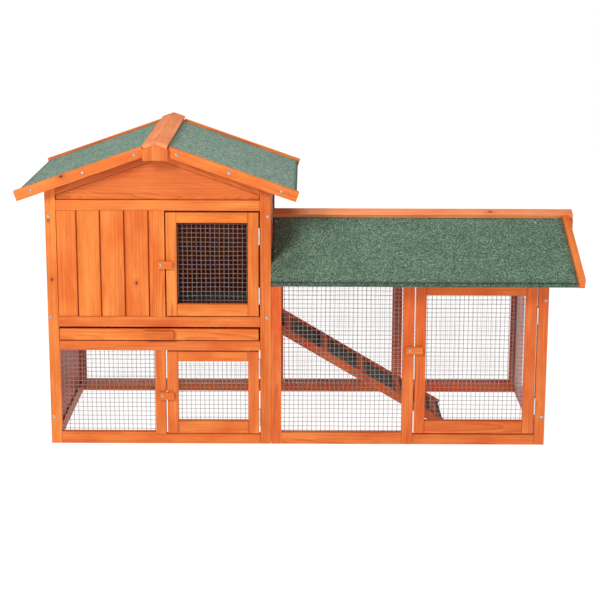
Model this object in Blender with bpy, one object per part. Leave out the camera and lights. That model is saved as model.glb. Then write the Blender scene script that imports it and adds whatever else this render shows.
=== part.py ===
"""Two-storey timber rabbit hutch with a mesh run, a ramp, three mesh doors and a pull-out tray.

Layout sizes are in millimetres in a layout frame: X from the house's left post to the run's right
post, Y from the front face to the back, Z up from the ground. P() turns them into metres with the
bounding box centred on the origin in X and Y and standing on Z = 0.
"""
import math

import bmesh
import bpy
from mathutils import Vector
from mathutils.geometry import tessellate_polygon

# ---------------------------------------------------------------- driving dimensions (mm)
MM = 0.001
GAP = 0.3                # clearance between touching pieces

T = 18.0                 # batten thickness (panel frame depth)
BAT = 28.0               # batten width
DEPTH = 522.0            # front face to back face of the frames
HOUSE_W = 585.7          # width of the house
RUN_X0 = 586.3           # run starts just clear of the house
RUN_X1 = 1314.0          # right face of the run
SIDE_Y0 = T + GAP        # side panels sit between the front and back panels
SIDE_Y1 = DEPTH - T - GAP

# roofs
SLOPE = 0.35             # rise per unit of run, both roofs
PITCH = math.atan(SLOPE)
PANEL_T = 11.0           # felted roof board thickness
HXC = HOUSE_W / 2        # house ridge line
FELT_TOP = 808.7         # felt at the house ridge
BARGE_UP = 6.0           # house bargeboards stand above the felt
BARGE_W = 27.0           # bargeboard width
BARGE_T = 18.0
EAVE_DX = 361.0          # house ridge to eave
TIP_DX = 366.4           # house ridge to bargeboard tip
ROOF_Y0 = -40.0          # front face of the house bargeboards
CAP_W = 35.0
CAP_T = 10.0
BLOCK_T = 12.0
BLOCK_HALF = 32.5
BLOCK_DROP = 40.7        # block bottom below the felt ridge

RIDGE_Y = DEPTH / 2      # run ridge line
RUN_EAVE_DY = 350.0      # run ridge to eave
RUN_FELT_TOP = 582.5     # felt at the run ridge
RUN_BARGE_UP = 12.5
RUN_CAP_W = 35.0
RUN_CAP_T = 10.0
RUN_PANEL_X1 = 1374.7    # right end of the run roof boards
RUN_BLOCK_X1 = 1405.5    # outer face of the run ridge block

# house front panel
BOTTOM_RAIL = 32.0
BOTTOM_RAIL_DOOR = 27.0
LOW_RAIL = (257.0, 282.3)
MID_RAIL = (321.0, 348.0)
GABLE_RAIL = (631.0, 658.0)
RAKE_INNER = 764.5       # underside of the raking rails at the ridge line
POST_R_IN = 557.0        # inner edge of the right post
LOW_STILE = (278.5, 307.0)
UP_STILE = (279.5, 309.0)
BOARD_JOINTS = (80.0, 141.0, 204.0, 267.0)

# doors: x0, x1, z0, z1, left stile, right stile, bottom rail, top rail
UPPER_DOOR = (312.0, 553.4, 350.5, 626.0, 28.0, 28.4, 31.5, 27.0)
LOWER_DOOR = (310.5, 553.4, 28.5, 253.3, 29.5, 28.6, 34.5, 26.3)
RUN_DOOR = (966.5, 1284.0, 31.0, 436.0, 27.7, 29.5, 34.2, 28.0)
RUN_POST_IN = 1287.0
RUN_MID_STILE = (933.5, 963.0)
RUN_LEFT_STILE = 613.0
RUN_TOP_RAIL = (439.0, 478.5)
HINGE_R = 2.2
HINGE_Y = -2.5           # hinge pin in front of the door face
UPPER_HINGE_Z = (383.5, 542.0)
LOWER_HINGE_Z = (50.0, 188.0)
RUN_HINGE_Z = (86.0, 332.0)
HINGE_H = 45.0

# turn buttons: screw x, screw z, left reach, right reach, half height
UPPER_BUTTON = (299.0, 488.6, 9.0, 31.0, 10.0)
LOWER_BUTTON = (298.0, 134.3, 7.0, 31.5, 9.8)
RUN_BUTTON = (952.0, 260.5, 10.0, 34.0, 10.0)
BUTTON_T = 10.0

# tray
TRAY_FRONT = (29.0, 553.2, 285.0, 315.0)
TRAY_PAN = (30.5, 551.5, 283.2, 306.0)
TRAY_LEN = 497.0
TRAY_WALL = 1.6
HANDLE = (252.7, 331.0, 288.6, 312.4)
HANDLE_T = 15.0

# ramp
RAMP_TAN = 0.595
RAMP_X0 = 587.0
RAMP_X1 = 1062.5
RAMP_H = 22.0
RAMP_Y0, RAMP_Y1 = 155.5, 357.0
STRINGER_T = 12.0
CLEATS = (50.0, 168.7, 287.4, 406.1, 524.8)
CLEAT_W = 19.0

MESH_T = 1.0

# layout frame -> centred frame
XC = (HXC - TIP_DX + RUN_BLOCK_X1) / 2
YC = RIDGE_Y

SIN, COS = math.sin(PITCH), math.cos(PITCH)

STAIN = (0.80, 0.25, 0.055)
STAIN_DARK = (0.62, 0.18, 0.04)
PLY = (0.74, 0.24, 0.07)
FELT = (0.075, 0.16, 0.10)
ZINC = (0.55, 0.56, 0.58)
PAN = (0.50, 0.52, 0.53)


def P(x, y, z):
    return Vector(((x - XC) * MM, (y - YC) * MM, z * MM))


# ---------------------------------------------------------------- construction helpers
def clear_scene():
    for ob in list(bpy.data.objects):
        bpy.data.objects.remove(ob, do_unlink=True)
    for me in list(bpy.data.meshes):
        bpy.data.meshes.remove(me)
    for ma in list(bpy.data.materials):
        bpy.data.materials.remove(ma)


def material(name, color, rough, metal):
    m = bpy.data.materials.new(name)
    m.use_nodes = True
    b = m.node_tree.nodes["Principled BSDF"]
    b.inputs["Base Color"].default_value = (*color, 1)
    b.inputs["Roughness"].default_value = rough
    b.inputs["Metallic"].default_value = metal
    m.diffuse_color = (*color, 1)
    return m


def finish(name, bm, origin, look, smooth=False):
    """Write a closed solid, given in world metres, as an object whose origin is at `origin`."""
    bmesh.ops.remove_doubles(bm, verts=bm.verts, dist=1e-6)
    bmesh.ops.recalc_face_normals(bm, faces=bm.faces)
    bmesh.ops.translate(bm, verts=bm.verts, vec=-origin)
    me = bpy.data.meshes.new(name)
    bm.to_mesh(me)
    bm.free()
    if smooth:
        for p in me.polygons:
            p.use_smooth = True
    ob = bpy.data.objects.new(name, me)
    ob.location = origin
    color, rough, metal = look
    me.materials.append(material(name + "_mat", color, rough, metal))
    bpy.context.scene.collection.objects.link(ob)
    return ob


WOOD = (STAIN, 0.55, 0.0)
WOOD_DARK = (STAIN_DARK, 0.6, 0.0)
PLY_LOOK = (PLY, 0.6, 0.0)
FELT_LOOK = (FELT, 0.95, 0.0)
ZINC_LOOK = (ZINC, 0.4, 1.0)
PAN_LOOK = (PAN, 0.35, 1.0)


def add_plate(bm, loops, plane, d0, d1):
    """Prism of a polygon with holes. plane XZ runs along Y, YZ along X, XY along Z."""
    def at(u, v, d):
        if plane == "XZ":
            return P(u, d, v)
        if plane == "YZ":
            return P(d, u, v)
        return P(u, v, d)
    tris = tessellate_polygon([[Vector((u, v, 0)) for u, v in lp] for lp in loops])
    flat = [p for lp in loops for p in lp]
    lo = [bm.verts.new(at(u, v, d0)) for u, v in flat]
    hi = [bm.verts.new(at(u, v, d1)) for u, v in flat]
    for a, b, c in tris:
        bm.faces.new((lo[a], lo[b], lo[c]))
        bm.faces.new((hi[c], hi[b], hi[a]))
    i = 0
    for lp in loops:
        n = len(lp)
        for k in range(n):
            a, b = i + k, i + (k + 1) % n
            bm.faces.new((lo[a], lo[b], hi[b], hi[a]))
        i += n


def rect(u0, u1, v0, v1):
    return [(u0, v0), (u1, v0), (u1, v1), (u0, v1)]


def plate(name, loops, plane, d0, d1, look, origin=None, bevel=0.0):
    bm = bmesh.new()
    add_plate(bm, loops, plane, d0, d1)
    if bevel:
        bmesh.ops.recalc_face_normals(bm, faces=bm.faces)
        bmesh.ops.dissolve_limit(bm, angle_limit=0.01, verts=bm.verts, edges=bm.edges)
        edges = [e for e in bm.edges if len(e.link_faces) == 2 and e.calc_face_angle(0) > 0.5]
        bmesh.ops.bevel(bm, geom=edges, offset=bevel * MM, offset_type="OFFSET", segments=2,
                        profile=0.5, affect="EDGES", clamp_overlap=True)
    if origin is None:
        c = [sum(co) / 2 for co in zip(*(tuple(min(v.co[i] for v in bm.verts) for i in range(3)),
                                         tuple(max(v.co[i] for v in bm.verts) for i in range(3))))]
        origin = Vector(c)
    return finish(name, bm, origin, look)


def box_bm(x0, x1, y0, y1, z0, z1):
    bm = bmesh.new()
    add_plate(bm, [rect(x0, x1, z0, z1)], "XZ", y0, y1)
    return bm


def temp_object(bm):
    bmesh.ops.recalc_face_normals(bm, faces=bm.faces)
    me = bpy.data.meshes.new("tool")
    bm.to_mesh(me)
    bm.free()
    ob = bpy.data.objects.new("tool", me)
    ob.hide_render = True
    ob.display_type = "WIRE"
    bpy.context.scene.collection.objects.link(ob)
    return ob


def fuse(target, tool_bms, op="UNION"):
    """Join or cut solids given in world metres into target, and bake the result."""
    for tbm in tool_bms:
        bmesh.ops.translate(tbm, verts=tbm.verts, vec=-Vector(target.location))
        tool = temp_object(tbm)
        tool.location = target.location
        mod = target.modifiers.new("fuse", "BOOLEAN")
        mod.operation = op
        mod.solver = "EXACT"
        mod.object = tool
        bpy.context.view_layer.update()
        dg = bpy.context.evaluated_depsgraph_get()
        me = bpy.data.meshes.new_from_object(target.evaluated_get(dg))
        target.modifiers.remove(mod)
        old = target.data
        name = old.name
        target.data = me
        bpy.data.meshes.remove(old)
        me.name = name
        bpy.data.objects.remove(tool, do_unlink=True)
    bm = bmesh.new()
    bm.from_mesh(target.data)
    bmesh.ops.remove_doubles(bm, verts=bm.verts, dist=5e-6)
    bmesh.ops.dissolve_limit(bm, angle_limit=0.005, verts=bm.verts, edges=bm.edges)
    bmesh.ops.recalc_face_normals(bm, faces=bm.faces)
    bm.to_mesh(target.data)
    bm.free()


def cylinder_bm(axis, cx, cy, cz, r, half, n=20):
    """Closed cylinder about a point, along X, Y or Z, layout millimetres."""
    bm = bmesh.new()
    rings = []
    for s in (-half, half):
        ring = []
        for k in range(n):
            a = 2 * math.pi * (k + 0.5) / n
            u, v = r * math.cos(a), r * math.sin(a)
            if axis == "Z":
                co = P(cx + u, cy + v, cz + s)
            elif axis == "Y":
                co = P(cx + u, cy + s, cz + v)
            else:
                co = P(cx + s, cy + u, cz + v)
            ring.append(bm.verts.new(co))
        rings.append(ring)
    bm.faces.new(rings[0])
    bm.faces.new(rings[1])
    for k in range(n):
        bm.faces.new((rings[0][k], rings[0][(k + 1) % n], rings[1][(k + 1) % n], rings[1][k]))
    return bm


def boards(name, plane, u0, u1, v0, v1, d0, d1, joints, groove_at, look):
    """Tongued boards as one panel: vertical V joints on one face. Section in plan, run along Z."""
    w, dp = 2.0, 3.0
    front, back = (d0, d1) if groove_at == "low" else (d1, d0)
    s = 1.0 if groove_at == "low" else -1.0
    pts = [(u0, front)]
    for j in joints:
        pts += [(j - w, front), (j, front + s * dp), (j + w, front)]
    pts += [(u1, front), (u1, back), (u0, back)]
    if plane == "YZ":
        pts = [(d, u) for u, d in pts]
    bm = bmesh.new()
    add_plate(bm, [pts], "XY", v0, v1)
    c = P((u0 + u1) / 2, (d0 + d1) / 2, (v0 + v1) / 2) if plane == "XZ" else \
        P((d0 + d1) / 2, (u0 + u1) / 2, (v0 + v1) / 2)
    return finish(name, bm, c, look)


def parent(child, to):
    bpy.context.view_layer.update()
    child.parent = to
    child.matrix_parent_inverse = to.matrix_world.inverted()


# ---------------------------------------------------------------- roof lines
def house_under(dx):
    return FELT_TOP - PANEL_T / COS - SLOPE * abs(dx)


def run_under(y):
    return RUN_FELT_TOP - PANEL_T / COS - SLOPE * abs(y - RIDGE_Y)


def slope_board(side, c, top, d_in, d_out, thick, d_mitre=None):
    """Section of a board lying on one side of a ridge at c: list of (u, z), perpendicular outer cut."""
    s = side
    return [(c + s * d_in, top - SLOPE * d_in),
            (c + s * d_out, top - SLOPE * d_out),
            (c + s * (d_out - thick * SIN), top - SLOPE * d_out - thick * COS),
            (c + s * d_in, top - SLOPE * d_in - thick / COS)]


def barge(side, c, felt, up, d_tip, d_notch):
    """Bargeboard section with its top cut down to the felt line where the ridge cap crosses it."""
    s = side
    top = felt + up
    return [(c + s * GAP / 2, felt - SLOPE * GAP / 2),
            (c + s * d_notch, felt - SLOPE * d_notch),
            (c + s * d_notch, top - SLOPE * d_notch),
            (c + s * d_tip, top - SLOPE * d_tip),
            (c + s * (d_tip - BARGE_W * SIN), top - SLOPE * d_tip - BARGE_W * COS),
            (c + s * GAP / 2, top - SLOPE * GAP / 2 - BARGE_W / COS)]


def block_section(c, felt):
    return [(c - BLOCK_HALF, felt - BLOCK_DROP), (c + BLOCK_HALF, felt - BLOCK_DROP),
            (c + BLOCK_HALF, felt - SLOPE * BLOCK_HALF), (c, felt), (c - BLOCK_HALF, felt - SLOPE * BLOCK_HALF)]


# ---------------------------------------------------------------- house
def build_house():
    side_top = house_under(HXC) - 0.5
    apex = house_under(0) - 0.5
    rake_end = RAKE_INNER - SLOPE * (HXC - BAT)
    rake_end_r = RAKE_INNER - SLOPE * (POST_R_IN - HXC)
    outline = [(0, 0), (HOUSE_W, 0), (HOUSE_W, side_top), (HXC, apex), (0, side_top)]
    gable = [(BAT, GABLE_RAIL[1]), (POST_R_IN, GABLE_RAIL[1]), (POST_R_IN, rake_end_r),
             (HXC, RAKE_INNER), (BAT, rake_end)]
    plate("house_front_frame",
          [outline, gable,
           rect(BAT, UP_STILE[0], MID_RAIL[1], GABLE_RAIL[0]),
           rect(UP_STILE[1], POST_R_IN, MID_RAIL[1] - 0.5, GABLE_RAIL[0]),
           rect(BAT, POST_R_IN, LOW_RAIL[1], MID_RAIL[0]),
           rect(BAT, LOW_STILE[0], BOTTOM_RAIL, LOW_RAIL[0]),
           rect(LOW_STILE[1], POST_R_IN, BOTTOM_RAIL_DOOR, LOW_RAIL[0])],
          "XZ", 0, T, WOOD)
    boards("house_front_boards", "XZ", BAT + GAP, UP_STILE[0] - GAP, MID_RAIL[1] + GAP,
           GABLE_RAIL[0] - GAP, 4, 14, BOARD_JOINTS, "low", WOOD)
    g = GAP
    plate("house_gable_panel",
          [[(BAT + g, GABLE_RAIL[1] + g), (POST_R_IN - g, GABLE_RAIL[1] + g), (POST_R_IN - g, rake_end_r - g),
            (HXC, RAKE_INNER - g), (BAT + g, rake_end - g)]], "XZ", 6, 12, PLY_LOOK)
    plate("house_front_mesh", [rect(T + GAP, 292, 20, 256.0 + 12)], "XZ", T + GAP, T + GAP + MESH_T, ZINC_LOOK)

    # left wall
    left = plate("house_left_frame",
                 [rect(SIDE_Y0, SIDE_Y1, 0, side_top), rect(SIDE_Y0 + BAT, SIDE_Y1 - BAT, 33, side_top - BAT)],
                 "YZ", 0, T, WOOD_DARK)
    ledge_y = (T + 3.0, DEPTH - T - 2.6)
    fuse(left, [box_bm(13.3, 45.0, ledge_y[0], ledge_y[1], LOW_RAIL[0], 282.7)])
    wall_joints = [SIDE_Y0 + BAT + 62.0 * k for k in range(1, 7)]
    boards("house_left_boards", "YZ", SIDE_Y0 + BAT + GAP, SIDE_Y1 - BAT - GAP, 33 + GAP, side_top - BAT - GAP,
           5, 13, wall_joints, "low", WOOD_DARK)

    # right wall: open below, boarded above with a doorway at the head of the ramp
    x0, x1 = HOUSE_W - T, HOUSE_W
    right = plate("house_right_frame",
                  [rect(SIDE_Y0, SIDE_Y1, 0, side_top),
                   rect(SIDE_Y0 + BAT, SIDE_Y1 - BAT, 33, LOW_RAIL[0]),
                   rect(SIDE_Y0 + BAT, SIDE_Y1 - BAT, 283, side_top - BAT)],
                  "YZ", x0, x1, WOOD_DARK)
    fuse(right, [box_bm(POST_R_IN - 16.0, x0 + 4.7, ledge_y[0], ledge_y[1], LOW_RAIL[0], 282.7)])
    plate("house_right_boards",
          [rect(SIDE_Y0 + BAT + GAP, SIDE_Y1 - BAT - GAP, 283 + GAP, side_top - BAT - GAP),
           rect(RAMP_Y0 + STRINGER_T + 3, RAMP_Y1 - STRINGER_T - 3, 303, 500)],
          "YZ", x0 + 5, x0 + 13, WOOD_DARK)

    # back wall
    plate("house_back_frame",
          [outline, rect(BAT, HOUSE_W - BAT, 33, 291),
           [(BAT, 319), (HOUSE_W - BAT, 319), (HOUSE_W - BAT, rake_end), (HXC, RAKE_INNER), (BAT, rake_end)]],
          "XZ", DEPTH - T, DEPTH, WOOD_DARK)
    plate("house_back_boards",
          [[(BAT + g, 319 + g), (HOUSE_W - BAT - g, 319 + g), (HOUSE_W - BAT - g, rake_end - g),
            (HXC, RAKE_INNER - g), (BAT + g, rake_end - g)]], "XZ", DEPTH - 13, DEPTH - 5, WOOD_DARK)
    plate("house_back_mesh", [rect(T + GAP, HOUSE_W - T - GAP, 21, 303)], "XZ",
          DEPTH - T - GAP - MESH_T, DEPTH - T - GAP, ZINC_LOOK)


def build_house_roof():
    y0, y1 = ROOF_Y0 + BARGE_T + GAP, 2 * RIDGE_Y - ROOF_Y0 - BARGE_T - GAP
    yb0, yb1 = ROOF_Y0, 2 * RIDGE_Y - ROOF_Y0
    for side, tag in ((-1, "left"), (1, "right")):
        plate("roof_panel_" + tag, [slope_board(side, HXC, FELT_TOP, GAP / 2, EAVE_DX, PANEL_T)],
              "XZ", y0, y1, FELT_LOOK)
        for (a, b), end in (((yb0, yb0 + BARGE_T), "front"), ((yb1 - BARGE_T, yb1), "back")):
            plate("bargeboard_%s_%s" % (end, tag),
                  [barge(side, HXC, FELT_TOP, BARGE_UP, TIP_DX, CAP_W * COS + 0.9)],
                  "XZ", a, b, WOOD)
        plate("ridge_cap_" + tag,
              [slope_board(side, HXC, FELT_TOP + GAP + CAP_T / COS, GAP / 2, CAP_W * COS, CAP_T)],
              "XZ", yb0 - BLOCK_T, yb1 + BLOCK_T, WOOD)
    plate("ridge_block_front", [block_section(HXC, FELT_TOP)], "XZ", yb0 - BLOCK_T, yb0 - GAP, WOOD)
    plate("ridge_block_back", [block_section(HXC, FELT_TOP)], "XZ", yb1 + GAP, yb1 + BLOCK_T, WOOD)


# ---------------------------------------------------------------- doors, buttons and hinges
def hinge_leaf(name, x_pin, z0, x_leaf0, x_leaf1, barrels, origin):
    """Flat leaf in the door gap, with a tongue running out to each of its own knuckles."""
    bm = box_bm(x_leaf0, x_leaf1, 0.2, 14.0, z0, z0 + HINGE_H)
    ob = finish(name, bm, origin, ZINC_LOOK)
    for a, b in barrels:
        fuse(ob, [box_bm(x_leaf0, x_leaf1, HINGE_Y, 2.0, a, b),
                  cylinder_bm("Z", x_pin, HINGE_Y, (a + b) / 2, HINGE_R, (b - a) / 2)])
    return ob


def build_door(tag, spec, hinge_z, frame_x, mesh_over):
    x0, x1, z0, z1, ls, rs, br, tr = spec
    x_pin = (x1 + frame_x) / 2
    zc = (z0 + z1) / 2
    origin = P(x_pin, HINGE_Y, zc)
    frame = plate(tag + "_door_frame",
                  [rect(x0, x1, z0, z1), rect(x0 + ls, x1 - rs, z0 + br, z1 - tr)], "XZ", 0, T, WOOD, origin)
    mesh = plate(tag + "_door_mesh",
                 [rect(x0 + ls - mesh_over, x1 - rs + mesh_over, z0 + br - mesh_over, z1 - tr + mesh_over)],
                 "XZ", T + GAP, T + GAP + MESH_T, ZINC_LOOK)
    parent(mesh, frame)
    for k, hz in enumerate(hinge_z):
        end = ("bottom", "top")[k]
        third = HINGE_H / 3
        leaf = hinge_leaf("%s_hinge_%s_door_leaf" % (tag, end), x_pin, hz, x1 + GAP, x1 + GAP + 0.8,
                          [(hz + third + 0.15, hz + 2 * third - 0.15)], origin)
        parent(leaf, frame)
        hinge_leaf("%s_hinge_%s_frame_leaf" % (tag, end), x_pin, hz, frame_x - GAP - 0.8, frame_x - GAP,
                   [(hz, hz + third - 0.15), (hz + 2 * third + 0.15, hz + HINGE_H)], P(x_pin, HINGE_Y, hz))
    return frame


def build_button(tag, spec):
    sx, sz, left, right, half = spec
    c = 1.5
    x0, x1, z0, z1 = sx - left, sx + right, sz - half, sz + half
    outline = [(x0 + c, z0), (x1 - c, z0), (x1, z0 + c), (x1, z1 - c), (x1 - c, z1), (x0 + c, z1),
               (x0, z1 - c), (x0, z0 + c)]
    n = 20
    hole = [(sx + 2.3 * math.cos(2 * math.pi * (k + 0.5) / n), sz + 2.3 * math.sin(2 * math.pi * (k + 0.5) / n))
            for k in range(n)]
    plate(tag + "_turn_button", [outline, hole], "XZ", -GAP - BUTTON_T, -GAP, WOOD,
          P(sx, -GAP - BUTTON_T / 2, sz))


# ---------------------------------------------------------------- tray
def build_tray():
    x0, x1, z0, z1 = TRAY_FRONT
    origin = P((x0 + x1) / 2, 0, (z0 + z1) / 2)
    front = plate("tray_front", [rect(x0, x1, z0, z1)], "XZ", 0, 12, WOOD, origin)
    a, b, c, d = TRAY_PAN
    w = TRAY_WALL
    pan = finish("tray_pan", box_bm(a, b, 12 + GAP, TRAY_LEN, c, d), P((a + b) / 2, TRAY_LEN / 2, c), PAN_LOOK)
    fuse(pan, [box_bm(a + w, b - w, 12 + GAP + w, TRAY_LEN - w, c + w, d + 5)], "DIFFERENCE")
    hx0, hx1, hz0, hz1 = HANDLE
    handle = plate("tray_handle", [rect(hx0, hx1, hz0, hz1)], "XZ", -HANDLE_T, -GAP, WOOD, bevel=1.6)
    parent(pan, front)
    parent(handle, front)


# ---------------------------------------------------------------- run
def build_run():
    plate("run_front_frame",
          [rect(RUN_X0, RUN_X1, 0, RUN_TOP_RAIL[1]),
           rect(RUN_LEFT_STILE, RUN_MID_STILE[0], BOTTOM_RAIL, RUN_TOP_RAIL[0]),
           rect(RUN_MID_STILE[1], RUN_POST_IN, BOTTOM_RAIL_DOOR + 0.5, RUN_TOP_RAIL[0])], "XZ", 0, T, WOOD)
    plate("run_front_mesh", [rect(RUN_X0 + 10, RUN_MID_STILE[0] + 14, 19, RUN_TOP_RAIL[0] + 14)], "XZ",
          T + GAP, T + GAP + MESH_T, ZINC_LOOK)
    # right end: rectangular bay below, gable bay above
    y0, y1 = SIDE_Y0, SIDE_Y1
    e = 0.5
    outline = [(y0, 0), (y1, 0), (y1, run_under(y1) - e), (RIDGE_Y, run_under(RIDGE_Y) - e), (y0, run_under(y0) - e)]
    drop = BAT / COS + e
    def inner(y):
        return run_under(y) - drop
    zt = 468.0
    ya = RIDGE_Y - (inner(RIDGE_Y) - zt) / SLOPE
    yb = 2 * RIDGE_Y - ya
    plate("run_side_frame",
          [outline, rect(y0 + BAT, y1 - BAT, 33, 440), [(ya, zt), (yb, zt), (RIDGE_Y, inner(RIDGE_Y))]],
          "YZ", RUN_X1 - T, RUN_X1, WOOD_DARK)
    m = 12.0
    plate("run_side_mesh",
          [[(y0 + 12, 21), (y1 - 12, 21), (y1 - 12, run_under(y1 - 12) - m), (RIDGE_Y, run_under(RIDGE_Y) - m),
            (y0 + 12, run_under(y0 + 12) - m)]],
          "YZ", RUN_X1 - T - GAP - MESH_T, RUN_X1 - T - GAP, ZINC_LOOK)
    plate("run_back_frame",
          [rect(RUN_X0, RUN_X1, 0, RUN_TOP_RAIL[1]),
           rect(611, 931.5, 33, 453), rect(960.5, 1280, 33, 453)], "XZ", DEPTH - T, DEPTH, WOOD_DARK)
    plate("run_back_mesh", [rect(RUN_X0 + 10, RUN_X1 - T - GAP - MESH_T - 2, 21, 465)], "XZ",
          DEPTH - T - GAP - MESH_T, DEPTH - T - GAP, ZINC_LOOK)


def build_run_roof():
    for side, tag in ((-1, "front"), (1, "back")):
        plate("run_roof_panel_" + tag, [slope_board(side, RIDGE_Y, RUN_FELT_TOP, GAP / 2, RUN_EAVE_DY, PANEL_T)],
              "YZ", RUN_X0, RUN_PANEL_X1, FELT_LOOK)
        plate("run_bargeboard_" + tag,
              [barge(side, RIDGE_Y, RUN_FELT_TOP, RUN_BARGE_UP, RUN_EAVE_DY, RUN_CAP_W * COS + 0.9)],
              "YZ", RUN_PANEL_X1 + GAP, RUN_PANEL_X1 + GAP + BARGE_T, WOOD)
        plate("run_ridge_cap_" + tag,
              [slope_board(side, RIDGE_Y, RUN_FELT_TOP + GAP + RUN_CAP_T / COS, GAP / 2, RUN_CAP_W * COS,
                           RUN_CAP_T)],
              "YZ", RUN_X0, RUN_BLOCK_X1, WOOD)
    plate("run_ridge_block", [block_section(RIDGE_Y, RUN_FELT_TOP)], "YZ",
          RUN_PANEL_X1 + 2 * GAP + BARGE_T, RUN_BLOCK_X1, WOOD)


# ---------------------------------------------------------------- ramp
def build_ramp():
    beta = math.atan(RAMP_TAN)
    sb, cb = math.sin(beta), math.cos(beta)
    z_end = RAMP_H * cb
    z_top = z_end + (RAMP_X1 - RAMP_X0) * RAMP_TAN

    def strip(w0, w1):
        """Section between two offsets below the ramp's top line, square at the foot, plumb at the head."""
        return [(RAMP_X0, z_top - w0 / cb), (RAMP_X1 - w0 * sb, z_end - w0 * cb),
                (RAMP_X1 - w1 * sb, z_end - w1 * cb), (RAMP_X0, z_top - w1 / cb)]

    length = (RAMP_X1 - RAMP_X0) / cb
    frame = plate("ramp_frame", [strip(0, RAMP_H)], "XZ", RAMP_Y0, RAMP_Y0 + STRINGER_T, WOOD)
    other = bmesh.new()
    add_plate(other, [strip(0, RAMP_H)], "XZ", RAMP_Y1 - STRINGER_T, RAMP_Y1)
    cleats = []
    for u in CLEATS:
        a, b = u - CLEAT_W / 2, u + CLEAT_W / 2
        def pt(s, w):
            return (RAMP_X0 + s * cb - w * sb, z_top - s * sb - w * cb)
        cbm = bmesh.new()
        add_plate(cbm, [[pt(a, 0.8), pt(b, 0.8), pt(b, 7.7), pt(a, 7.7)]], "XZ",
                  RAMP_Y0 + STRINGER_T - 4, RAMP_Y1 - STRINGER_T + 4)
        cleats.append(cbm)
    fuse(frame, [cleats[0], other] + cleats[1:])
    plate("ramp_deck", [strip(8, 16)], "XZ", RAMP_Y0 + STRINGER_T + GAP, RAMP_Y1 - STRINGER_T - GAP, FELT_LOOK)


clear_scene()
build_house()
build_house_roof()
build_door("upper", UPPER_DOOR, UPPER_HINGE_Z, POST_R_IN, 10.0)
build_door("lower", LOWER_DOOR, LOWER_HINGE_Z, POST_R_IN, 10.0)
build_door("run", RUN_DOOR, RUN_HINGE_Z, RUN_POST_IN, 10.0)
build_button("upper", UPPER_BUTTON)
build_button("lower", LOWER_BUTTON)
build_button("run", RUN_BUTTON)
build_tray()
build_run()
build_run_roof()
build_ramp()
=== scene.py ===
import math
import random

import bmesh
import bpy
from mathutils import Matrix, Vector
from mathutils.geometry import tessellate_polygon


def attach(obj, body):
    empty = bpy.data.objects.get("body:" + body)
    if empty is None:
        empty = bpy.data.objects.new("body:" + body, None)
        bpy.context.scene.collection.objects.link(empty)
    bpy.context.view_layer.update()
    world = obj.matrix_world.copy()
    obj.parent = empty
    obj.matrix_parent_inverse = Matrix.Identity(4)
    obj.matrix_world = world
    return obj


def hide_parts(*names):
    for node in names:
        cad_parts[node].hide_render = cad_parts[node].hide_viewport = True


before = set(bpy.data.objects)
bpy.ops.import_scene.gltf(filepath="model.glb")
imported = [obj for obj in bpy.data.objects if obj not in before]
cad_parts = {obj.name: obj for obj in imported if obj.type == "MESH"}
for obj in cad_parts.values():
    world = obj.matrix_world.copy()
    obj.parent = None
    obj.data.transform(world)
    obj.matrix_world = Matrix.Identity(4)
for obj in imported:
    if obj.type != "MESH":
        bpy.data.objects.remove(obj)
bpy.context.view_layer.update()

# ------------------------------------------------------------------ layout sizes, millimetres (as in the CAD part)
MM = 0.001
GAP = 0.3
T, BAT, DEPTH = 18.0, 28.0, 522.0
HOUSE_W, RUN_X0, RUN_X1 = 585.7, 586.3, 1314.0
SY0, SY1 = T + GAP, DEPTH - T - GAP
SLOPE = 0.35
PITCH = math.atan(SLOPE)
SIN, COS = math.sin(PITCH), math.cos(PITCH)
PANEL_T = 11.0
HXC = HOUSE_W / 2
FELT_TOP, BARGE_UP, BARGE_W, BARGE_T = 808.7, 6.0, 27.0, 18.0
EAVE_DX, TIP_DX, ROOF_Y0 = 361.0, 366.4, -40.0
CAP_W, CAP_T, BLOCK_T, BLOCK_HALF, BLOCK_DROP = 35.0, 10.0, 12.0, 32.5, 40.7
RIDGE_Y = DEPTH / 2
RUN_EAVE_DY, RUN_FELT_TOP, RUN_BARGE_UP = 350.0, 582.5, 12.5
RUN_CAP_W, RUN_CAP_T = 35.0, 10.0
RUN_PANEL_X1, RUN_BLOCK_X1 = 1374.7, 1405.5
LOW_RAIL, MID_RAIL, GABLE_RAIL = (257.0, 282.3), (321.0, 348.0), (631.0, 658.0)
RAKE_INNER, POST_R_IN = 764.5, 557.0
LOW_STILE, UP_STILE = (278.5, 307.0), (279.5, 309.0)
BOARD_JOINTS = (80.0, 141.0, 204.0, 267.0)
UPPER_DOOR = (312.0, 553.4, 350.5, 626.0, 28.0, 28.4, 31.5, 27.0)
LOWER_DOOR = (310.5, 553.4, 28.5, 253.3, 29.5, 28.6, 34.5, 26.3)
RUN_DOOR = (966.5, 1284.0, 31.0, 436.0, 27.7, 29.5, 34.2, 28.0)
RUN_TOP = (439.0, 478.5)
RAMP_TAN, RAMP_X0, RAMP_X1, RAMP_H = 0.595, 587.0, 1062.5, 22.0
RAMP_Y0, RAMP_Y1, STRINGER_T = 155.5, 357.0, 12.0
CLEATS, CLEAT_W = (50.0, 168.7, 287.4, 406.1, 524.8), 19.0
XC, YC = (HXC - TIP_DX + RUN_BLOCK_X1) / 2, RIDGE_Y


def P(x, y, z):
    return Vector(((x - XC) * MM, (y - YC) * MM, z * MM))


def house_under(dx):
    return FELT_TOP - PANEL_T / COS - SLOPE * abs(dx)


def run_under(y):
    return RUN_FELT_TOP - PANEL_T / COS - SLOPE * abs(y - RIDGE_Y)


def rect(u0, u1, v0, v1):
    return [(u0, v0), (u1, v0), (u1, v1), (u0, v1)]


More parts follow.
